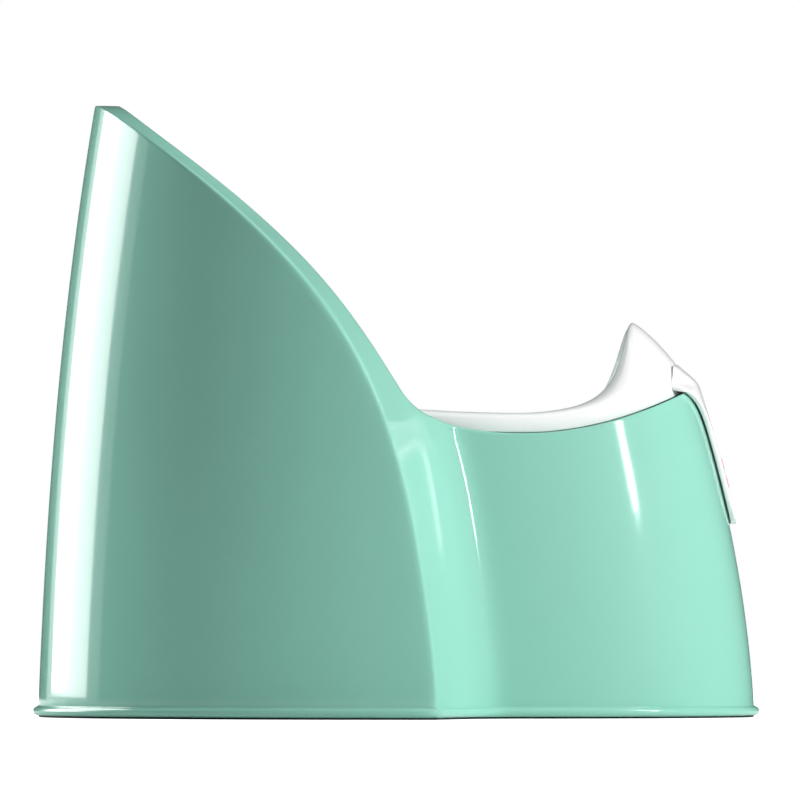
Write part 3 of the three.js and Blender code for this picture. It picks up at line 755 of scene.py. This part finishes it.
@dataclass
class ChairShell:
    """The one-piece chair: rear wall, wings, drum, rim, backrest, ledge and foot bead.

    The flat and steep pairs are Bezier shares [across, down] at the start and end of the backrest's
    section. The ledge's rows run from 1 at its outer edge to 2 at the opening and 3 at the lip's
    lower edge.
    """

    form: ChairForm
    material: bpy.types.Material
    wall: float = 2.6
    crease_columns: int = 46
    foot_columns: int = 44
    rear_columns: int = 22
    face_rows: int = 9
    back_rows: int = 11
    ledge_rows: tuple[float, ...] = (1.22, 1.6, 1.9, 2.0, 2.12, 2.5, 3.0)
    fine_steps: int = 600
    rear_steps: int = 40
    ledge_reach: float = 18.4
    ledge_edge: float = 4.5
    flat_start: Pair = (0.33, 0.33)
    flat_end: Pair = (0.33, 0.1)
    steep_start: Pair = (0.1, 0.55)
    steep_end: Pair = (0.62, 0.02)
    lip: float = 6.0
    crease_round: float = 2.8
    rim_round: float = 3.2
    bead_height: float = 4.4
    bead_inside: float = 3.0
    bead_flat: float = 0.4
    bead_shoulder: float = 0.35
    bead_neck: float = 0.55

    def __post_init__(self) -> None:
        """Works out the columns that the face and the seat share."""
        self.outer = self._outer_boundary()
        self.rim = self._rim_points()
        centre = self.form.seat_centre
        self.angles = [math.atan2(w, x - centre) for x, _, w in self.rim]
        self.angles[0] = math.pi
        self.angles[-1] = 0.0

    def _outer_boundary(self) -> list[Point]:
        """Works out where the columns start.

        Returns:
            Points [x, z, w]: down the crease from the top, then round the drum's foot.
        """
        form = self.form
        fine = self.fine_steps
        crease = []
        for i in range(fine + 1):
            z = lerp(form.height, form.foot_z, (i / fine) ** 2)
            x = form.crease_x(z)
            crease.append((x, z, 0.0 if i == 0 else form.rear_half_width(x, z)))
        foot = []
        front = form.front_wall(form.foot_z)
        for i in range(fine + 1):
            x = lerp(form.crease_x(form.foot_z), front, math.sin(i / fine * math.pi / 2))
            foot.append((x, form.foot_z, 0.0 if i == fine else form.face_half_width(x, form.foot_z)))
        points = []
        for line, columns, first in ((crease, self.crease_columns, 0), (foot, self.foot_columns, 1)):
            path = Path(line)
            points += [path.point(path.total * i / columns) for i in range(first, columns + 1)]
        return points

    def _rim_points(self) -> list[Point]:
        """Works out where the columns end.

        Returns:
            Points [x, z, w] on the rim, from the backrest's top to the front centre.
        """
        form = self.form
        line = form.rim_line()
        path = Path([(x, z, form.face_half_width(x, z)) for x, z in line])
        points, last, last_at = [], 0, 0.0
        for i, (_, z, _w) in enumerate(self.outer[: self.crease_columns]):
            if z < form.level_from:
                break
            x = form.wing_rim_x(z)
            points.append((x, z, 0.0 if i == 0 else form.face_half_width(x, z)))
            last = i
            last_at = path.at[next(k for k, p in enumerate(line) if p[1] <= z)]
        fan_end = path.at[next(k for k, p in enumerate(line) if p[0] >= form.fan_end)]
        for i in range(last + 1, self.crease_columns + 1):
            t = (i - last) / (self.crease_columns - last)
            points.append(path.point(lerp(last_at, fan_end, t)))
        for i in range(1, self.foot_columns + 1):
            points.append(path.point(lerp(fan_end, path.total, i / self.foot_columns)))
        x, z, _ = points[-1]
        points[-1] = (x, z, 0.0)
        return points

    def _face_point(self, i: int, t: float) -> Vector:
        """A point of the face.

        Args:
            i: the column's number.
            t: the share of the way from the outer boundary to the rim.

        Returns:
            The point in metres.
        """
        form = self.form
        x0, z0, w0 = self.outer[i]
        x1, z1, w1 = self.rim[i]
        if t == 0:
            return form.to_world((x0, w0, z0))
        if t == 1:
            return form.to_world((x1, w1, z1))
        z = lerp(z0, z1, t)
        centre = form.drum_centre
        share0 = (x0 - centre) / (form.front_wall(z0) - centre)
        share1 = (x1 - centre) / (form.front_wall(z1) - centre)
        x = centre + lerp(share0, share1, t) * (form.front_wall(z) - centre)
        w = 0.0 if w0 == 0 and w1 == 0 else form.face_half_width(x, z)
        return form.to_world((x, w, z))

    def _seat_point(self, i: int, t: float) -> Vector:
        """A point of the seat.

        Args:
            i: the column's number.
            t: down the backrest from 0 to 1, over the ledge to 2, down the lip to 3.

        Returns:
            The point in metres.
        """
        form = self.form
        x0, z0, w0 = self.rim[i]
        angle = self.angles[i]
        on_centre = i in (0, len(self.rim) - 1)
        mouth = form.opening(angle)
        rim_away = math.hypot(x0 - form.seat_centre, w0)
        ledge = mouth + min(self.ledge_reach, rim_away - mouth - self.ledge_edge)

        def place(r: float) -> Point:
            """The ledge's point at a distance from the seat centre."""
            x = form.seat_centre + r * math.cos(angle)
            return (x, 0.0 if on_centre else r * math.sin(angle), form.seat_height(x))

        if t >= 1:
            x, w, z = place(lerp(ledge, mouth, min(t, 2) - 1))
            return form.to_world((x, w, z - self.lip * max(t - 2, 0)))
        x1, w1, z1 = place(ledge)
        drop, run = z0 - z1, rim_away - ledge
        steep = drop**2 / (drop**2 + run**2)
        start = [lerp(a, b, steep) for a, b in zip(self.flat_start, self.steep_start)]
        end = [1 - lerp(a, b, steep) for a, b in zip(self.flat_end, self.steep_end)]
        across, down = bezier_pair(((0, 0), start, end, (1, 1)), t)
        return form.to_world((lerp(x0, x1, across), lerp(w0, w1, across), z0 - drop * down))

    def _row_length(self, i: int, point: Callable[[int, float], Vector]) -> float:
        """Length in millimetres of a column, from share 0 to 1."""
        marks = [point(i, k / 6) for k in range(7)]
        return sum((q - p).length for p, q in zip(marks, marks[1:])) / MM

    def _rear_grid(self, mesh: bmesh.types.BMesh) -> None:
        """Lays the rear wall, between the middle plane and the crease.

        Args:
            mesh: the mesh that it joins.
        """
        form = self.form
        columns = self.rear_columns + 2

        def place(u: float, t: float) -> Vector:
            """Lays one point of the wall.

            Args:
                u: share of the way from the middle plane to the crease.
                t: share of the columns, down the crease.

            Returns:
                The point in metres.
            """
            x, z, w = self.outer[round(t * self.crease_columns)]
            end = math.asin(clamp(w / form.wing_half(z)))
            run = max(form.wing_half(z) * end, TINY)
            shares = supported(run, self.rear_columns, 0, self.crease_round)
            c = round(u * columns)
            if c == columns:
                return form.to_world((x, w, z))
            return form.to_world(form.rear_plan(z, end * shares[c]))

        lay_grid(mesh, columns, self.crease_columns, place)

    def _face_grid(self, mesh: bmesh.types.BMesh) -> None:
        """Lays the wing's face and the drum, from the outer boundary to the rim.

        Args:
            mesh: the mesh that it joins.
        """
        columns = len(self.outer) - 1
        rows = self.face_rows + 2
        shares = []
        for i in range(columns + 1):
            length = self._row_length(i, self._face_point)
            shares.append(supported(length, self.face_rows, self.crease_round, self.rim_round))

        def place(u: float, t: float) -> Vector:
            """The face's point at two shares, up the column and along the columns."""
            i = round(t * columns)
            return self._face_point(i, shares[i][round(u * rows)])

        lay_grid(mesh, rows, columns, place)

    def _seat_grid(self, mesh: bmesh.types.BMesh) -> None:
        """Lays the backrest, the ledge and the lip round the opening.

        Args:
            mesh: the mesh that it joins.
        """
        columns = len(self.outer) - 1
        rows = []
        for i in range(columns + 1):
            start = close_edge(self._row_length(i, self._seat_point), self.rim_round, 0.2)
            back = [lerp(start, 1, k / self.back_rows) for k in range(self.back_rows + 1)]
            rows.append([0.0, *back, *self.ledge_rows])
        steps = len(rows[0]) - 1

        def place(u: float, t: float) -> Vector:
            """The seat's point at two shares, down the column and along the columns."""
            i = round(t * columns)
            return self._seat_point(i, rows[i][round(u * steps)])

        lay_grid(mesh, steps, columns, place)

    def foot_line(self) -> list[Pair]:
        """Half of the foot's outline.

        Returns:
            Points [x, w], from the rear centre round to the front centre.
        """
        form = self.form
        w = self.outer[self.crease_columns][2]
        end = math.asin(clamp(w / form.wing_half(form.foot_z)))
        steps = self.rear_steps
        rear = [form.rear_plan(form.foot_z, end * i / steps)[:2] for i in range(steps)]
        return [*rear, *((p[0], p[2]) for p in self.outer[self.crease_columns :])]

    def build_skin(self) -> bpy.types.Object:
        """Makes the chair's skin with its wall.

        Returns:
            The skin.
        """
        mesh = bmesh.new()
        self._rear_grid(mesh)
        self._face_grid(mesh)
        self._seat_grid(mesh)
        mirror_and_weld(mesh)
        behind = Vector((-1.0, 0.0, 0.12))
        turn_outwards(mesh, behind)
        skin = finish_piece(
            "chair_shell_skin", mesh, "chair", Finish.SHELL, self.material, self.wall
        )
        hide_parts("chair_shell")
        return skin

    def build_bead(self) -> bpy.types.Object:
        """Makes the rounded bead round the foot.

        Returns:
            The bead.
        """
        nose = self.bead_height / 2
        neck = self.bead_height + self.bead_neck
        section = [(-self.bead_inside, 0.0), (-self.bead_inside * self.bead_flat, 0.0)]
        for k in range(7):
            a = math.radians(-90 + 30 * k)
            section.append((self.form.bead - nose + nose * math.cos(a), nose + nose * math.sin(a)))
        section += [(self.bead_shoulder, self.bead_height), (0.0, neck), (-self.bead_inside, neck)]
        mesh = bmesh.new()
        sweep_round_foot(mesh, self.form, self.foot_line(), section)
        return finish_piece("chair_shell_foot_bead", mesh, "chair", Finish.SHELL, self.material)


def offset_points(line: Sequence[Pair], stretch_limit: float = 2.0) -> list[tuple[float, ...]]:
    """The outward direction at each point of half the foot's outline.

    Args:
        line: the outline's points [x, w], from the rear centre to the front centre.
        stretch_limit: the most that a corner may stretch a wall.

    Returns:
        For each point its x, w, the direction's x and w, and the stretch that keeps a wall even.
    """
    found = []
    last = len(line) - 1
    for i, (x, w) in enumerate(line):
        before = line[i - 1] if i > 0 else (line[1][0], -line[1][1])
        after = line[i + 1] if i < last else (line[last - 1][0], -line[last - 1][1])
        legs = []
        for p, q in ((before, (x, w)), ((x, w), after)):
            legs.append(Vector((-(q[1] - p[1]), q[0] - p[0])).normalized())
        normal = (legs[0] + legs[1]).normalized()
        stretch = 1 / max(normal.dot(legs[0]), 1 / stretch_limit)
        found.append((x, w, normal.x, normal.y, stretch))
    return found


def sweep_round_foot(
    mesh: bmesh.types.BMesh, form: ChairForm, line: Sequence[Pair], section: Sequence[Pair]
) -> None:
    """Carries a closed section round the whole foot.

    Args:
        mesh: the mesh that it joins.
        form: the chair's form.
        line: half the foot's outline.
        section: the section's points [out, up], in order round it.
    """
    stations = offset_points(line)
    last = len(stations) - 1

    def place(part: Pair, k: int) -> Vector:
        """Lays one point of the swept piece.

        Args:
            part: the section's point [out, up].
            k: the station's number.

        Returns:
            The point in metres.
        """
        out, up = part
        x, w, nx, nw, stretch = stations[k]
        across = 0.0 if k in (0, last) else w + nw * out * stretch
        return form.to_world((x + nx * out * stretch, across, form.foot_z + up))

    lay_tube(mesh, section, last, place)
    mirror_and_weld(mesh)


@dataclass
class GripStrip:
    """One of the two rubber strips in the foot bead's underside."""

    form: ChairForm
    line: list[Pair]
    material: bpy.types.Material
    node: str
    side: float
    width: float = 3.0
    tall: float = 2.2
    inset: float = 0.4
    ends: float = 4.0
    edge_round: float = 0.5
    edge_step: float = 0.12

    def build(self) -> bpy.types.Object:
        """Makes the strip with rounded lower edges.

        Returns:
            The strip.
        """
        inner = -self.inset - self.width
        turn, step = self.edge_round, self.edge_step
        section = [(inner, self.tall), (inner, turn), (inner + step, step), (inner + turn, 0.0)]
        section += [(-self.inset - turn, 0.0), (-self.inset - step, step), (-self.inset, turn)]
        section += [(-self.inset, self.tall)]
        stations = [s for s in offset_points(self.line) if s[1] >= self.ends]

        def place(part: Pair, k: int) -> Vector:
            """Lays one point of the strip.

            Args:
                part: the section's point [out, up].
                k: the station's number.

            Returns:
                The point in metres.
            """
            out, up = part
            x, w, nx, nw, stretch = stations[k]
            point = (x + nx * out * stretch, w + nw * out * stretch, up)
            return self.form.to_world(point, self.side)

        mesh = bmesh.new()
        lay_tube(mesh, section, len(stations) - 1, place)
        close_tube(mesh)
        strip = finish_piece(
            f"{self.node}_rubber", mesh, "chair", Finish.GRIP, self.material, rounds=0
        )
        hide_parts(self.node)
        return strip


# ---- The potty ----------------------------------------------------------------------------------


@dataclass
class InnerPotty:
    """The lift-out potty: rolled rim, splash guard, bowl and grip tongue.

    A pair is a height where there is no splash guard and at the guard's middle.
    """

    form: ChairForm
    shell: ChairShell
    material: bpy.types.Material
    columns: int = 72
    wall: float = 2.4
    gap: float = 1.2
    rim_gap: float = 0.6
    rim_reach: float = 17.0
    rim_inset: float = 1.2
    rim_easing: float = 3.0
    ledge_room: float = 10.0
    ledge_climb: float = 30.0
    rim_height: float = 10.2
    rim_shoulder: float = 5.0
    rim_foot: float = 1.6
    rim_edge: float = 0.5
    side_up: Pair = (8.4, 12.0)
    inner_up: Pair = (7.5, 14.0)
    inner_lean: float = 6.0
    inner_end: float = -2.0
    inner_stretch: float = 1.2
    crest_in: float = 7.5
    floor: float = 21.0
    floor_share: float = 0.74
    floor_corner: float = 20.0
    floor_ease: float = 0.8
    guard_lift: float = 24.0
    guard_inward: float = 19.0
    guard_spread: float = 32.0
    guard_power: float = 3.3
    guard_edge: float = 3.4
    tongue_half: float = 18.0
    tongue_root: float = 39.0
    tongue_flare: float = 24.0
    tongue_flare_power: float = 2.2
    tongue_end_power: float = 2.4
    tongue_reach: float = 65.0
    tongue_thick: float = 2.8
    tongue_gap: float = 0.8
    tongue_columns: int = 24
    tongue_rows: tuple[float, ...] = (1.5, 3.5, 6, 9, 12, 15, 18, 21, 24, 30, 36, 42)
    tongue_edge: float = 0.55
    tongue_least: float = 0.6
    root_rows: tuple[float, ...] = (-10.5, -9, -7.4, -5.8, -4.4, -3.2, -2.1)
    root_over: float = 2.0
    root_sunk: float = 0.35
    root_thin: float = 0.6
    root_taper: float = 0.34
    root_taper_power: float = 1.6
    root_taper_from: float = 2.0
    root_clear: float = 0.35
    root_tuck: float = 1.1
    root_into: float = 0.2
    root_side: float = 0.4
    root_side_up: float = 5.0
    root_top_power: float = 0.8

    @property
    def root_top(self) -> float:
        """How far the tongue's root reaches above the shell's front rim."""
        return self.rim_height + self.root_over

    @property
    def tongue_straight(self) -> float:
        """How far below the front rim the tongue's round end starts."""
        return self.tongue_reach - self.tongue_half

    def _inset(self, x: float, z: float) -> float:
        """How far the potty's rim stays inside the shell's rim: more where that rises steeply."""
        above = clamp((z - self.form.seat_height(x) - self.form.ledge_drop) / self.ledge_climb)
        return self.rim_inset + above * (self.shell.ledge_edge + self.ledge_room)

    def _rim_limit(self, angle: float) -> float:
        """How much room the shell leaves for the potty's rim.

        Args:
            angle: direction from the seat centre, from the front, in radians.

        Returns:
            The furthest that the rim may reach in that direction.
        """
        angles, rim = self.shell.angles, self.shell.rim
        i = 1
        while i < len(angles) - 1 and angles[i] > angle:
            i += 1

        def reach(k: int) -> float:
            """The limit at one column of the shell.

            Args:
                k: the column's number.

            Returns:
                The limit, which is out of reach on the middle plane behind.
            """
            if k == 0:
                return 1e3
            x, z, w = rim[k]
            return math.hypot(x - self.form.seat_centre, w) - self._inset(x, z)

        t = clamp((angles[i - 1] - angle) / (angles[i - 1] - angles[i]))
        return lerp(reach(i - 1), reach(i), t)

    def _rim_radius(self, angle: float) -> float:
        """Distance from the seat centre to the rolled rim's outer edge."""
        wanted = self.form.opening(angle) + self.rim_reach
        return -rounded_max(-wanted, -self._rim_limit(angle), self.rim_easing)

    def guard_share(self, angle: float) -> float:
        """How much of the splash guard stands at an angle from the front."""
        return math.exp(-((abs(angle) / math.radians(self.guard_spread)) ** self.guard_power))

    def outer_side(self, angle: float) -> list[Pair]:
        """The section of the rim's outer side.

        Args:
            angle: direction from the seat centre, from the front, in radians.

        Returns:
            Bezier points [inwards, up] from the side's foot to the crest.
        """
        share = self.guard_share(angle)
        crest = self.crest_in + self.guard_inward * share
        up = self.rim_height + self.guard_lift * share
        shoulder = lerp(self.rim_shoulder, self.guard_edge, share)
        foot = (0, self.rim_gap + self.rim_foot)
        return [foot, (0, lerp(*self.side_up, share)), (crest - shoulder, up), (crest, up)]

    def column(self, angle: float) -> list[Point]:
        """The potty's upper surface in one direction.

        Args:
            angle: direction from the seat centre, from the front, in radians.

        Returns:
            Points [x, w, z] from the rim's edge to the floor's middle.
        """
        form = self.form
        outside = self._rim_radius(angle)
        mouth = form.opening(angle) - self.gap - self.wall
        share = self.guard_share(angle)
        outer = self.outer_side(angle)
        crest, up = outer[-1]
        shoulder = lerp(self.rim_shoulder, self.guard_edge, share)
        inner_edge = outside - mouth
        inner = [
            (crest, up),
            (crest + shoulder * self.inner_stretch, up),
            (inner_edge + self.inner_lean * share, lerp(*self.inner_up, share)),
            (inner_edge, self.inner_end),
        ]
        section = [(0.0, self.rim_gap), (0.0, self.rim_gap + self.rim_edge)]
        steps = 11
        section += [bezier_pair(outer, i / steps) for i in range(steps + 1)]
        section += [bezier_pair(inner, i / steps) for i in range(1, steps + 1)]

        def seat(r: float) -> float:
            """Height of the shell's ledge at a distance from the seat centre."""
            return form.seat_height(form.seat_centre + r * math.cos(angle))

        points = [(outside - d, seat(outside) + h) for d, h in section]
        top = points[-1][1]
        foot = mouth * self.floor_share
        corner = self.floor_corner / (top - self.floor)

        def down(t: float) -> Pair:
            """The bowl's straight side at a share of the way down."""
            return (lerp(mouth, foot, t), lerp(top, self.floor, t))

        points += [down(0.1 + (0.9 - corner) * k / 6) for k in range(1, 6)]
        flat = foot - self.floor_corner * self.floor_ease
        bend = [down(1 - corner), (foot, self.floor), (flat, self.floor)]
        points += [bezier_pair(bend, i / 8) for i in range(9)]
        points += [(flat * k, self.floor) for k in (0.8, 0.5, 0.25, 0.0)]
        across = 0.0 if abs(math.sin(angle)) < 1e-9 else math.sin(angle)
        return [(form.seat_centre + r * math.cos(angle), r * across, z) for r, z in points]

    def build_bowl(self) -> bpy.types.Object:
        """Makes the rim, guard and bowl with their wall.

        Returns:
            The bowl.
        """
        lines = [self.column(math.pi * (1 - i / self.columns)) for i in range(self.columns + 1)]
        steps = len(lines[0]) - 1

        def place(u: float, t: float) -> Vector:
            """The bowl's point at two shares, inwards and round."""
            return self.form.to_world(lines[round(t * self.columns)][round(u * steps)])

        mesh = bmesh.new()
        lay_grid(mesh, steps, self.columns, place)
        mirror_and_weld(mesh)
        above = Vector((0.03, 0.0, 0.6))
        turn_outwards(mesh, above)
        bowl = finish_piece(
            "inner_potty_bowl", mesh, "potty", Finish.POTTY, self.material, self.wall
        )
        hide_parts("inner_potty")
        return bowl

    def tongue_half_at(self, down: float) -> float:
        """The tongue's half width.

        Args:
            down: distance below the front rim.

        Returns:
            The half width there: wide at the root, even along the face and round at the end.
        """
        flare = 1 - clamp(down / self.tongue_flare)
        extra = (self.tongue_root - self.tongue_half) * flare**self.tongue_flare_power
        over = clamp((-down - self.root_taper_from) / (self.root_top - self.root_taper_from))
        root = (self.tongue_half + extra) * (1 - self.root_taper * over**self.root_taper_power)
        end = clamp((down - self.tongue_straight) / self.tongue_half)
        return root * (1 - end**self.tongue_end_power) ** (1 / self.tongue_end_power)

    def rim_side(self, w: float, up: float) -> float:
        """How far forward the rim's outer side is.

        Args:
            w: the half width.
            up: the height above the ledge.

        Returns:
            The side's place along the chair.
        """
        edge = self.form.front_rim(w)[0]
        angle = abs(math.atan2(w, edge - self.form.seat_centre))
        side = self.outer_side(angle)
        t = 0.0
        while t < 1 and bezier_pair(side, t)[1] < up:
            t += 0.01
        r = self._rim_radius(angle) - bezier_pair(side, t)[0]
        return self.form.seat_centre + math.sqrt(max(r * r - w * w, 0))

    def tongue_point(self, w: float, down: float, out: float) -> Point:
        """A point of the tongue.

        Args:
            w: the half width.
            down: distance below the front rim.
            out: 0 on the tongue's inner side and 1 on its outer side.

        Returns:
            The point [x, w, z].
        """
        edge, height = self.form.front_rim(w)
        z = height - down
        gap = self.tongue_gap
        face = (self.form.drum_face(w, z) if down > 0 else edge) + gap
        outside = face + self.tongue_thick
        tucked = smoothstep(-down, self.root_clear, self.root_tuck)
        inside = face - tucked * (edge + gap - self.rim_side(w, 2) + self.wall + self.root_into)
        if down < 0:
            across = abs(w) / self.tongue_half_at(down)
            at_side = smoothstep(across, self.root_side, 1) * smoothstep(-down, 0, self.root_side_up)
            at_top = smoothstep(-down / self.root_top, 0, 1) ** self.root_top_power
            on_rim = self.rim_side(w, -down) - self.root_sunk
            outside = lerp(outside, on_rim, max(at_side, at_top))
            inside = min(inside, outside - self.root_thin)
        return (lerp(inside, outside, out), w, z)

    def build_tongue(self) -> bpy.types.Object:
        """Makes the grip tongue, with its root laid over the shell's edge.

        Returns:
            The tongue.
        """
        straight = self.tongue_straight
        downs = [-self.root_top, *self.root_rows, -self.root_tuck, -self.root_clear, 0]
        downs += [*self.tongue_rows, straight]
        downs += [straight + self.tongue_half * math.sin(math.radians(9 * k)) for k in range(1, 10)]
        downs.append(self.tongue_reach - 0.02)
        across = self.tongue_columns
        section = [(-1 + 2 * i / across, 0.0) for i in range(across + 1)]
        section += [(1.0, 0.3), (1.0, 0.75)]
        section += [(1 - 2 * i / across, 1.0) for i in range(across + 1)]
        section += [(-1.0, 0.75), (-1.0, 0.3)]

        def place(part: Pair, k: int) -> Vector:
            """Lays one point of the tongue.

            Args:
                part: the section's point [across, out], from -1 to 1 and from 0 to 1.
                k: the row's number.

            Returns:
                The point in metres.
            """
            side, out = part
            half = self.tongue_half_at(downs[k]) - (self.tongue_edge if out == 1 else 0)
            w = side * max(half, self.tongue_least)
            return self.form.to_world(self.tongue_point(w, downs[k], out))

        mesh = bmesh.new()
        lay_tube(mesh, section, len(downs) - 1, place)
        close_tube(mesh)
        return finish_piece("inner_potty_tongue", mesh, "potty", Finish.POTTY, self.material)


@dataclass
class FrontMark:
    """One wavy bar let into the tongue."""

    potty: InnerPotty
    material: bpy.types.Material
    node: str
    down: float
    half: float = 11.0
    bar: float = 4.2
    wave: float = 0.9
    half_waves: float = 1.5
    deep: float = 0.8
    proud: float = 0.4
    edge_proud: float = 0.45
    face_share: float = 0.82
    end_share: float = 0.5
    steps: int = 40

    def build(self) -> bpy.types.Object:
        """Makes the bar with rounded ends and a softly rounded face.

        Returns:
            The bar.
        """
        edge, face = self.proud * self.edge_proud, self.face_share
        section = [(-1.0, -self.deep), (-1.0, edge), (-face, self.proud), (0.0, self.proud)]
        section += [(face, self.proud), (1.0, edge), (1.0, -self.deep)]

        def place(part: Pair, k: int) -> Vector:
            """Lays one point of the bar.

            Args:
                part: the section's point [across, out], from -1 to 1 and in millimetres.
                k: the row's number.

            Returns:
                The point in metres.
            """
            across, out = part
            w = lerp(-self.half, self.half, (1 - math.cos(k / self.steps * math.pi)) / 2)
            lift = self.wave * math.sin(w / self.half * math.pi * self.half_waves)
            near_end = clamp((self.half - abs(w)) / (self.bar / 2))
            round_end = lerp(self.end_share, 1, math.sqrt(max(1 - (1 - near_end) ** 2, 0)))
            down = self.down + lift + across * self.bar / 2 * round_end
            x, _, z = self.potty.tongue_point(w, down, 1)
            return self.potty.form.to_world((x + out, w, z))

        mesh = bmesh.new()
        lay_tube(mesh, section, self.steps, place)
        close_tube(mesh)
        bar = finish_piece(
            f"{self.node}_inlay", mesh, "potty", Finish.MARK, self.material, rounds=0
        )
        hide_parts(self.node)
        return bar


# ---- Studio -------------------------------------------------------------------------------------


@dataclass(frozen=True)
class SoftLight:
    """A soft rectangular light, in metres and watts.

    One that isn't mirrored lights the chair, but doesn't show in its gloss.
    """

    name: str
    place: Point
    aim: Point
    size: Pair
    watts: float
    mirrored: bool = True

    def hang(self) -> None:
        """Makes the light and turns it to its aim."""
        data = bpy.data.lights.new(self.name, "AREA")
        data.shape = "RECTANGLE"
        data.size, data.size_y = self.size
        data.energy = self.watts
        light = bpy.data.objects.new(self.name, data)
        light.location = self.place
        direction = Vector(self.aim) - Vector(self.place)
        light.rotation_euler = direction.to_track_quat("-Z", "Y").to_euler()
        light.visible_glossy = self.mirrored
        bpy.context.scene.collection.objects.link(light)


# Left and right are the camera's.
LIGHTS = (
    SoftLight("rear_left_box", (-1.45, 0.95, 0.75), (0, 0, 0.15), (1.1, 1.5), 30),
    SoftLight("rear_left_glow", (-1.62, 1.06, 0.75), (0, 0, 0.15), (1.8, 1.7), 10),
    SoftLight("right_strip", (1.82, -1.18, 1.42), (0.1, 0, 0.15), (0.12, 1.3), 24),
    SoftLight("overhead_box", (0.3, -0.2, 2.3), (0, 0, 0.1), (1.8, 1.8), 15),
    SoftLight("right_key", (2.0, -0.85, 0.9), (0.1, 0, 0.1), (1.2, 1.3), 34, mirrored=False),
)


@dataclass
class Studio:
    """The camera, the white floor and air, and the soft lights, in metres."""

    lens: float = 223.4
    sensor: float = 36.0
    clip: Pair = (0.05, 60.0)
    distance: float = 2.4
    eye: float = 0.0235
    aim: float = 0.153
    shift: float = 0.0019
    paper: float = 1.0
    air: float = 0.05
    floor_glow: float = 0.62
    fade_from: float = 0.35
    fade_to: float = 1.6
    floor_reach: float = 30.0
    floor_tone: float = 0.9
    floor_roughness: float = 0.9
    floor_specular: float = 0.1

    def camera(self) -> None:
        """Puts the camera level with the chair's foot, looking slightly up at it."""
        data = bpy.data.cameras.new("camera")
        data.lens = self.lens
        data.sensor_width = self.sensor
        data.clip_start, data.clip_end = self.clip
        camera = bpy.data.objects.new("camera", data)
        camera.location = (self.shift, -self.distance, self.eye)
        up = math.atan2(self.aim - self.eye, self.distance)
        camera.rotation_euler = (math.pi / 2 + up, 0, 0)
        bpy.context.scene.collection.objects.link(camera)
        bpy.context.scene.camera = camera

    def lights(self) -> None:
        """Hangs the lights in air that is white to look at but dim as a light."""
        for light in LIGHTS:
            light.hang()
        world = bpy.data.worlds.new("studio_air")
        world.use_nodes = True
        tree = world.node_tree
        background = tree.nodes["Background"]
        background.inputs["Color"].default_value = (1, 1, 1, 1)
        rays = add_node(tree, "LightPath")
        strength = add_node(tree, "MapRange", {"To Min": self.air, "To Max": self.paper})
        join(tree, rays, "Is Camera Ray", strength, "Value")
        join(tree, strength, "Result", background, "Strength")
        bpy.context.scene.world = world
        bpy.context.scene.view_settings.view_transform = "Standard"

    def _floor_finish(self) -> bpy.types.Material:
        """Makes the floor's finish.

        Returns:
            A white that glows faintly by the chair and as white as the air further out.
        """
        material = bpy.data.materials.new("studio_paper")
        material.use_nodes = True
        tree = material.node_tree
        shader = tree.nodes["Principled BSDF"]
        shader.inputs["Base Color"].default_value = (*[self.floor_tone] * 3, 1)
        shader.inputs["Roughness"].default_value = self.floor_roughness
        shader.inputs["Specular IOR Level"].default_value = self.floor_specular
        shader.inputs["Emission Color"].default_value = (1, 1, 1, 1)
        where = add_node(tree, "TexCoord")
        away = add_node(tree, "VectorMath", operation="LENGTH")
        fade = {"From Min": self.fade_from, "From Max": self.fade_to}
        glow = add_node(tree, "MapRange", {**fade, "To Min": self.floor_glow, "To Max": self.paper})
        rays = add_node(tree, "LightPath")
        seen = add_node(tree, "Math", operation="MULTIPLY")
        join(tree, where, "Object", away, 0)
        join(tree, away, "Value", glow, "Value")
        join(tree, glow, "Result", seen, 0)
        join(tree, rays, "Is Camera Ray", seen, 1)
        join(tree, seen, 0, shader, "Emission Strength")
        return material

    def floor(self) -> None:
        """Lays a white floor that fades into the white air round it."""
        reach = self.floor_reach

        def place(u: float, t: float) -> Vector:
            """The floor's point at two shares."""
            return Vector((lerp(-reach, reach, u), lerp(-reach, reach, t), 0))

        mesh = bmesh.new()
        lay_grid(mesh, 24, 24, place)
        data = bpy.data.meshes.new("studio_floor")
        mesh.to_mesh(data)
        mesh.free()
        floor = bpy.data.objects.new("studio_floor", data)
        data.materials.append(self._floor_finish())
        bpy.context.scene.collection.objects.link(floor)


# ---- The whole chair ----------------------------------------------------------------------------

# The side of the middle plane that each strip is on, and how far below the front rim each mark is.
GRIP_SIDES = {"grip_strip_left": 1.0, "grip_strip_right": -1.0}
MARK_PLACES = {"front_mark_upper": 36.0, "front_mark_lower": 44.8}


def main() -> None:
    """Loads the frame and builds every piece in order."""
    logging.basicConfig(level=logging.INFO, format="%(name)s: %(message)s")
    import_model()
    studio = Studio()
    studio.camera()
    studio.lights()
    studio.floor()

    group = SurfaceGroup().build()
    made = {slot: finish.build(group) for slot, finish in FINISHES.items()}

    low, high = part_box("chair_shell")
    log.info("shell box %s to %s", low, high)
    form = ChairForm(
        length=round((high[0] - low[0]) / MM, 1),
        width=round((high[1] - low[1]) / MM, 1),
        height=round(high[2] / MM, 1),
    )
    shell = ChairShell(form, made[Finish.SHELL])
    shell.build_skin()
    shell.build_bead()
    line = shell.foot_line()
    for node, side in GRIP_SIDES.items():
        GripStrip(form, line, made[Finish.GRIP], node, side).build()
    potty = InnerPotty(form, shell, made[Finish.POTTY])
    potty.build_bowl()
    potty.build_tongue()
    for node, down in MARK_PLACES.items():
        FrontMark(potty, made[Finish.MARK], node, down).build()


if __name__ == "__main__":
    main()
